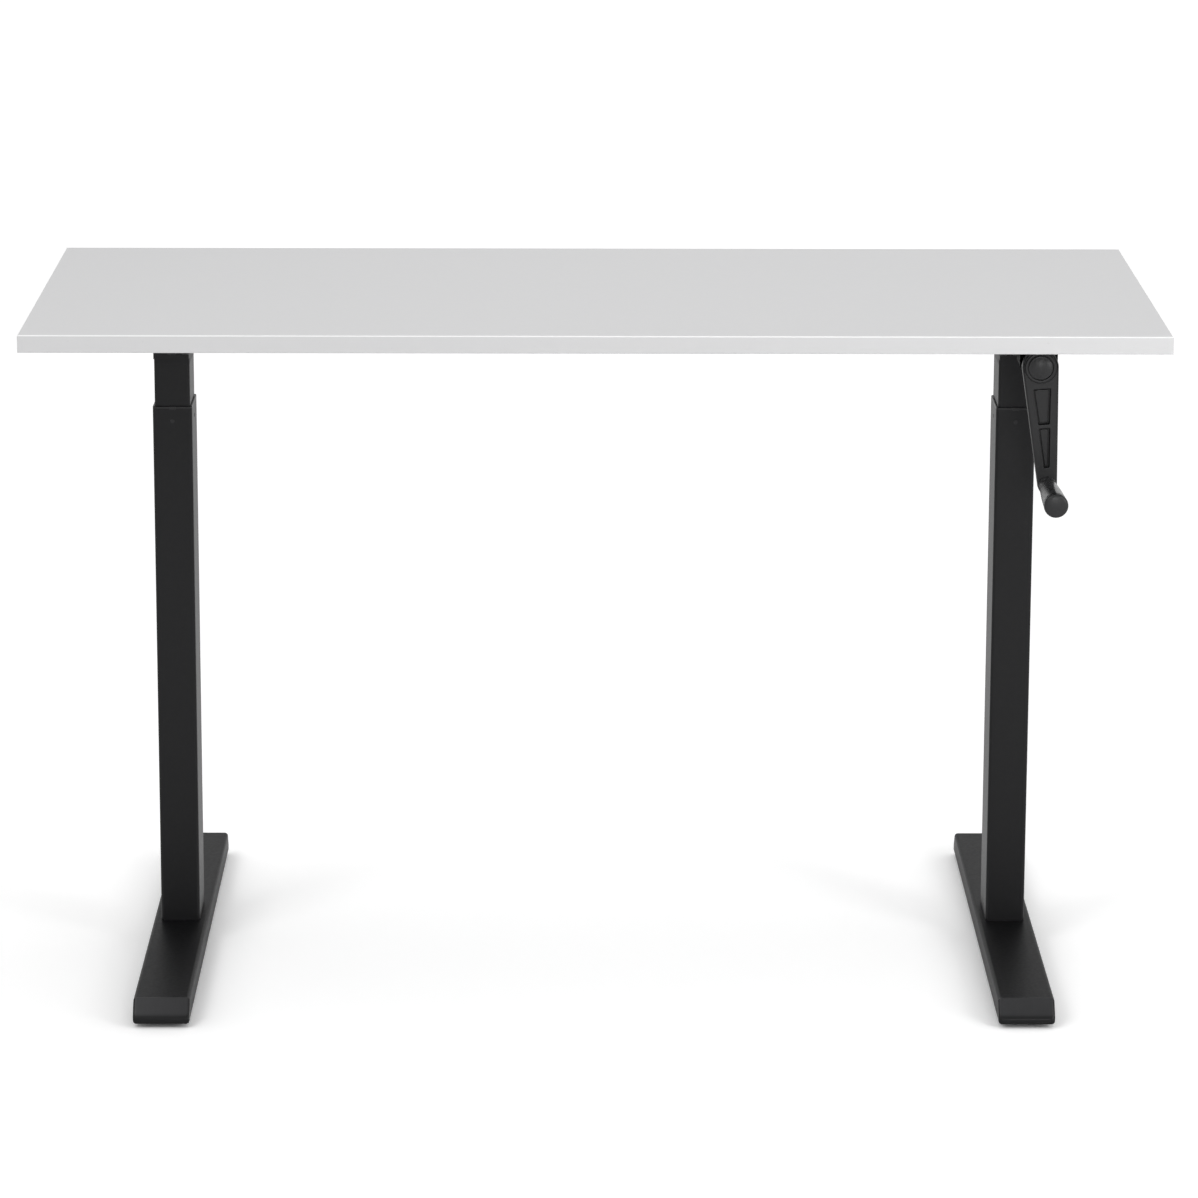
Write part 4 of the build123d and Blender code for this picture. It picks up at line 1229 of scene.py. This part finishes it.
# --------------------------------------------------------------------------------------------
# Feet
# --------------------------------------------------------------------------------------------
@dataclass
class Feet(Assembly):
    """End caps and levelling pads of both feet, in millimetres.

    Attributes:
        side_round: Rounding of a cap's long corners.
        tube_round: Rounding of the foot tube's corners, which the cap takes over at the seam.
        nose_round: Rounding round the nose's flat front.
        nose_fall: Share of that rounding by which the nose's top draws in.
        nose_lift: Share of that rounding by which the nose's underside draws in.
        seam: Depth of the fine groove at the seam.
        level: Length of the cap's level part, next to the seam.
        fall: Height that the sloping face loses.
        plug_length: How far a cap's plug reaches into the foot tube.
        plug_side: From the cap's side to its plug.
        stud_root: Radius of a levelling foot's stud under its thread.
        stud_crest: Radius over that thread.
        stud_pitch: Height of one turn of that thread.
    """

    side_round: float = 4.0
    tube_round: float = 4.5
    nose_round: float = 3.6
    nose_fall: float = 0.45
    nose_lift: float = 0.6
    seam: float = 0.5
    level: float = 1.0
    fall: float = 22.0
    plug_length: float = 18.0
    plug_side: float = 2.8
    stud_root: float = 3.4
    stud_crest: float = 4.0
    stud_pitch: float = 1.25

    def build(self) -> None:
        """Makes the caps and the pads of each foot."""
        for side in Side:
            for end in End:
                node = f"{side.word}_foot_cap_{end.word}"
                self.place(f"{side.word}_{end.word}_foot_end", self.cap(node, end), node)
                node = f"{side.word}_{end.word}_leveller"
                self.place(f"{side.word}_{end.word}_levelling_foot", self.pad(node), node)

    @staticmethod
    def section(half: float, bottom: float, top: float, corner: float, along: float) -> list[Point]:
        """A rounded rectangle across the foot.

        Args:
            half: Half its width.
            bottom: Its lower edge.
            top: Its upper edge.
            corner: Radius of its corners.
            along: Its place along the foot, from the seam.

        Returns:
            Its points.
        """
        corner = min(corner, (top - bottom) / 2 - 0.05)
        corners = ((half, top, 0), (-half, top, 90), (-half, bottom, 180), (half, bottom, 270))
        points = []
        for u, v, turn in corners:
            middle_u = u - math.copysign(corner, u)
            middle_v = v - corner if v == top else v + corner
            points += arc((middle_u, middle_v), corner, turn, turn + 90, 6)
        return [(u, along, v) for u, v in points]

    def slice(self, along: float, half: float, tall: float, length: float) -> list[Point]:
        """A cap's outline at one place along it: its top falls and its nose draws in.

        Args:
            along: The place, from the seam.
            half: Half the cap's width.
            tall: Its height at the seam.
            length: Its length from the seam to the nose.

        Returns:
            Its points.
        """
        past = max(along - (length - self.nose_round), 0.0)
        inset = self.nose_round - math.sqrt(max(self.nose_round**2 - past**2, 0.0))
        groove = self.seam if along == 0 else 0.0
        share = min(max(along - self.level, 0.0) / (length - self.level), 1.0)
        bottom = self.nose_lift * inset + groove
        top = tall - self.fall * share - self.nose_fall * inset - groove
        corner = self.side_round + (self.tube_round - self.side_round) * (1 - share) ** 4
        return self.section(half - inset - groove, bottom, top, corner, along)

    def cap(self, node: str, end: End) -> Mesh:
        """A wedge-shaped cap: a sloping face over a short round-cornered nose, and a plug.

        Args:
            node: The CAD node that it stands for.
            end: The end of the foot that it closes.

        Returns:
            Its mesh.
        """
        low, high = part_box(node)
        half, tall = (high.x - low.x) / 2 / MM, (high.z - low.z) / MM
        length = (high.y - low.y) / MM - self.plug_length
        turns = [math.radians(15 * k) for k in range(7)]
        stations = [0.0, 0.35, *(self.level + past for past in (0.0, 0.6, 1.2, 3.0))]
        stations += [6.0, 9.0, 12.0]
        stations += [length - self.nose_round * (1 - math.sin(turn)) for turn in turns]
        work = Sculpt()
        mouth = work.dish(self.slice(along, half, tall, length) for along in stations)
        side, back = self.plug_side, -self.plug_length
        steps = ((side, 2.0, 0.0), (side, 2.0, back + 1), (side + 1, 1.5, back))
        plug = [
            work.loop(self.section(half - inset, inset, tall - inset, corner, along))
            for inset, corner, along in steps
        ]
        work.skin([mouth, *plug])
        work.cover(plug[-1])
        front = end is End.FRONT
        seam_y = (high.y if front else low.y) + end.value * self.plug_length * MM
        turn = Matrix.Rotation(math.pi, 4, "Z") if front else Matrix.Identity(4)
        return work.mesh(standing((low.x + high.x) / 2, seam_y, low.z) @ turn)

    def pad(self, node: str) -> Mesh:
        """A levelling foot: a round pad with a soft rim, a shoulder and a threaded stud.

        Args:
            node: The CAD node that it stands for.

        Returns:
            Its mesh.
        """
        low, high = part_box(node)
        radius, tall = (high.x - low.x) / 2 / MM, (high.z - low.z) / MM
        root, crest, pitch = self.stud_root, self.stud_crest, self.stud_pitch
        profile = [(0, 0.6), (radius - 6.0, 0.6), (radius - 5.0, 0.0), (radius - 1.6, 0.0)]
        profile += arc((radius - 1.3, 1.3), 1.3, -90, 0, 5)
        profile += [(radius, 2.6), (radius - 0.5, 3.3), (radius - 1.4, 3.7), (9.0, 4.5)]
        profile.append((root, 4.6))
        height = 5.4
        while height < tall - 2.2:
            profile.append((root, height))
            profile += [(crest, height + share * pitch) for share in (0.45, 0.6)]
            height += pitch
        profile += [(root, tall - 1.2), (root - 0.9, tall), (0, tall)]
        centre = middle(node)
        return lathe(profile, standing(centre.x, centre.y, low.z), 64)


# --------------------------------------------------------------------------------------------
# Lifting screws
# --------------------------------------------------------------------------------------------
@dataclass
class LiftingScrews(Assembly):
    """The two threaded screws inside the columns, in millimetres.

    Attributes:
        crest: Radius over the thread.
        root: Radius under the thread.
        pitch: Height of one turn of the thread.
        form: How high the thread stands at even steps over one pitch, as a share of its depth.
        collar: Length of the plain collar over the thread.
        spigot: Length of the thinner end over the collar.
        spigot_radius: Radius of that end.
        around: Points round one turn.
    """

    crest: float = 7.0
    root: float = 5.6
    pitch: float = 5.0
    form: Sequence[float] = (0.0, 0.35, 1.0, 1.0, 1.0, 0.35, 0.0, 0.0)
    collar: float = 4.0
    spigot: float = 16.0
    spigot_radius: float = 5.0
    around: int = 20

    def build(self) -> None:
        """Makes both screws."""
        for side in Side:
            node = f"{side.word}_lead_screw"
            self.place(f"{side.word}_lifting_screw", self.screw(node), node)

    def row(self, number: int, rows: int) -> list[Point]:
        """One row of points round the thread.

        Args:
            number: The row's number from the lower end.
            rows: How many rows the thread has.

        Returns:
            The row's points.
        """
        steps = len(self.form)
        fade = min(1.0, (rows - number) / steps, number / steps)
        height = 0.8 + number * self.pitch / steps
        points = []
        for k in range(self.around):
            spot = (number / steps - k / self.around) % 1.0 * steps
            here, share = int(spot) % steps, spot % 1.0
            lift = self.form[here] * (1 - share) + self.form[(here + 1) % steps] * share
            radius = self.root + (self.crest - self.root) * lift * fade
            turn = 2 * math.pi * k / self.around
            points.append((radius * math.cos(turn), radius * math.sin(turn), height))
        return points

    def screw(self, node: str) -> Mesh:
        """A rounded trapezoid thread on a round core, with a chamfered lower end.

        Args:
            node: The CAD node that it stands for.

        Returns:
            Its mesh.
        """
        low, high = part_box(node)
        centre, tall = middle(node), (high.z - low.z) / MM
        threaded, thin = tall - self.spigot - self.collar, self.spigot_radius
        rows = int(threaded / self.pitch * len(self.form))
        ends = (
            (self.crest, threaded + self.collar / 2), (self.crest, threaded + self.collar),
            (thin, threaded + self.collar), (thin, tall - 0.6), (thin - 0.6, tall),
        )
        outlines = [[(0, 0, 0)], circle(self.root - 0.8, 0, self.around)]
        outlines += [self.row(number, rows) for number in range(rows)]
        outlines += [circle(radius, height, self.around) for radius, height in ends]
        outlines.append([(0, 0, tall)])
        work = Sculpt()
        work.skin([work.loop(points) for points in outlines])
        return work.mesh(standing(centre.x, centre.y, low.z))


# --------------------------------------------------------------------------------------------
# Studio
# --------------------------------------------------------------------------------------------
@dataclass(frozen=True)
class Lamp:
    """A soft rectangular lamp that faces the desk.

    Attributes:
        name: The lamp's name.
        place: Where it stands, in metres.
        aim: The point that it faces.
        size: Its width and height.
        power: Its power in watts.
    """

    name: str
    place: Point
    aim: Point
    size: tuple[float, float]
    power: float

    def hang(self) -> None:
        """Adds the lamp to the scene."""
        light = bpy.data.lights.new(self.name, "AREA")
        light.shape = "RECTANGLE"
        light.size, light.size_y = self.size
        light.energy = self.power
        lamp = show(self.name, light)
        lamp.location = self.place
        lamp.rotation_mode = "QUATERNION"
        lamp.rotation_quaternion = (Vector(self.aim) - lamp.location).to_track_quat("-Z", "Y")


@dataclass(frozen=True)
class Camera:
    """The camera: in front of the desk, above its top, looking slightly down.

    Attributes:
        place: Where it stands, in metres.
        lens: Its focal length in millimetres.
        shift: How far its view is moved up, as a share of the frame.
        yaw: Its turn to the right, in radians.
        pitch: Its tilt down, in radians.
        roll: Its turn about its own axis, in radians.
        sensor: Width of its sensor in millimetres.
        sight: The furthest that it sees, in metres.
    """

    place: Point = (-0.0369, -6.0628, 2.0033)
    lens: float = 145.94
    shift: float = -0.12
    yaw: float = 0.00714
    pitch: float = 0.22037
    roll: float = 0.00297
    sensor: float = 36.0
    sight: float = 60.0

    def stand(self) -> None:
        """Puts the camera into the scene."""
        data = bpy.data.cameras.new("camera")
        data.sensor_width = self.sensor
        data.lens = self.lens
        data.shift_y = self.shift
        data.clip_end = self.sight
        eye = show("camera", data)
        level = math.cos(self.pitch)
        forward = Vector(
            (math.sin(self.yaw) * level, math.cos(self.yaw) * level, -math.sin(self.pitch))
        )
        right = Vector((math.cos(self.yaw), -math.sin(self.yaw), 0))
        aim = Matrix((right, right.cross(forward), -forward)).transposed().to_quaternion()
        eye.rotation_mode = "QUATERNION"
        eye.rotation_quaternion = aim @ Matrix.Rotation(self.roll, 3, "Z").to_quaternion()
        eye.location = self.place
        bpy.context.scene.camera = eye


@dataclass
class Studio:
    """Pale floor, even light and the camera.

    Attributes:
        camera: The camera.
        lamps: The lamps.
        surround: Strength of the light from all round.
        floor_half: Half the side of the floor, in metres.
        floor_colour: Brightness of the floor.
        glow: Pairs of distance from the desk in metres and the floor's lift there.
        reach: Distance in metres that the floor's lift is mapped over.
        contact: How far the painted contact shade reaches beside a piece that stands on the floor,
            in metres: there the lift is dimmed by ambient occlusion.
    """

    camera: Camera = Camera()
    lamps: Sequence[Lamp] = (
        Lamp("key_lamp", (-2.2, -2.8, 3.4), (0, 0, 0.5), (1.6, 1.6), 44),
        Lamp("right_lamp", (2.0, -1.8, 1.2), (0.6, -0.2, 0.75), (0.7, 1.2), 18),
        Lamp("top_lamp", (0.4, 0.5, 3.4), (0.2, 0, 0.8), (2.4, 1.6), 22),
        Lamp("front_lamp", (0.9, -7.0, 1.45), (0.4, 0, 0.7), (1.0, 0.8), 50),
    )
    surround: float = 0.45
    floor_half: float = 14.0
    floor_colour: float = 0.95
    glow: Sequence[tuple[float, float]] = ((0.8, 0.37), (2.5, 0.48), (5.0, 0.6))
    reach: float = 10.0
    contact: float = 0.08

    def world(self) -> None:
        """Sets the surroundings: white to the eye, plain soft light on the desk."""
        world = bpy.data.worlds.new("studio")
        bpy.context.scene.world = world
        world.use_nodes = True
        tree = world.node_tree
        back = tree.nodes["Background"]
        seen = self._seen(tree)
        strength = tree.nodes.new("ShaderNodeMix")
        strength.data_type = "FLOAT"
        unseen_level, seen_level = strength.inputs[2], strength.inputs[3]
        unseen_level.default_value = self.surround
        seen_level.default_value = 1.0
        tree.links.new(seen, strength.inputs["Factor"])
        tree.links.new(strength.outputs[0], back.inputs["Strength"])
        back.inputs["Color"].default_value = (1, 1, 1, 1)

    @staticmethod
    def _seen(tree: bpy.types.NodeTree) -> Socket:
        """A socket that is 1 for rays from the eye, mirrors and glass.

        Args:
            tree: The tree to add nodes to.

        Returns:
            The combined socket.
        """
        rays = tree.nodes.new("ShaderNodeLightPath")
        total = rays.outputs["Is Camera Ray"]
        for name in ("Is Glossy Ray", "Is Transmission Ray"):
            larger = tree.nodes.new("ShaderNodeMath")
            larger.operation = "MAXIMUM"
            tree.links.new(total, larger.inputs[0])
            tree.links.new(rays.outputs[name], larger.inputs[1])
            total = larger.outputs[0]
        return total

    def floor(self) -> None:
        """Lays the pale floor: almost white to the eye, with the desk's shadow kept."""
        mesh = bpy.data.meshes.new("floor")
        net = bmesh.new()
        bmesh.ops.create_grid(net, x_segments=2, y_segments=2, size=self.floor_half)
        net.to_mesh(mesh)
        net.free()
        floor = show("floor", mesh)
        tree = NodeTree("studio_floor")
        mottle = tree.noise(0.7, 3.0)
        pale, palest = (self.floor_colour,) * 3, (self.floor_colour + 0.02,) * 3
        colour = tree.mix(mottle, pale, palest)
        roughness = tree.ramp(mottle, [(0, 0.85), (1, 0.95)])
        normal = tree.bump(tree.noise(30, 2.0), 0.02, 0.0005)
        mesh.materials.append(tree.finish(colour, roughness, normal, Specular_IOR_Level=0.1))
        self._lift(tree)

    def _lift(self, tree: NodeTree) -> None:
        """Lifts the lit floor to white for the eye and for reflections, with its shadows kept and a
        painted contact shade round what stands on it.

        Args:
            tree: The floor's node tree.
        """
        seen = self._seen(tree.tree)
        away = tree.node("ShaderNodeVectorMath", operation="LENGTH")
        tree.link(tree.scaled((1 / self.reach,) * 3), away.inputs[0])
        stops = [(metres / self.reach, lift) for metres, lift in self.glow]
        glow = tree.ramp(away.outputs["Value"], stops)
        # Painted contact shade: the lift fades where ambient occlusion finds a piece close by,
        # darkening the floor round the feet.
        painted_contact_shade = tree.node("ShaderNodeAmbientOcclusion", samples=12)
        painted_contact_shade.inputs["Distance"].default_value = self.contact
        clear = tree.product(glow, painted_contact_shade.outputs["AO"])
        tree.shader.inputs["Emission Color"].default_value = (1, 1, 1, 1)
        tree.link(tree.product(seen, clear), tree.shader.inputs["Emission Strength"])

    def build(self) -> None:
        """Sets up everything round the desk."""
        bpy.context.scene.view_settings.view_transform = "Standard"
        self.world()
        self.floor()
        self.camera.stand()
        for lamp in self.lamps:
            lamp.hang()


def main() -> None:
    """Builds the desk's looks and the studio."""
    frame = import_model()
    finishes = Finishes()
    finishes.make()
    finishes.dress(frame)
    for kind in (Crank, Grip, CrankGuide, Feet, LiftingScrews):
        kind(finishes).build()
    Studio().build()


if __name__ == "__main__":
    main()
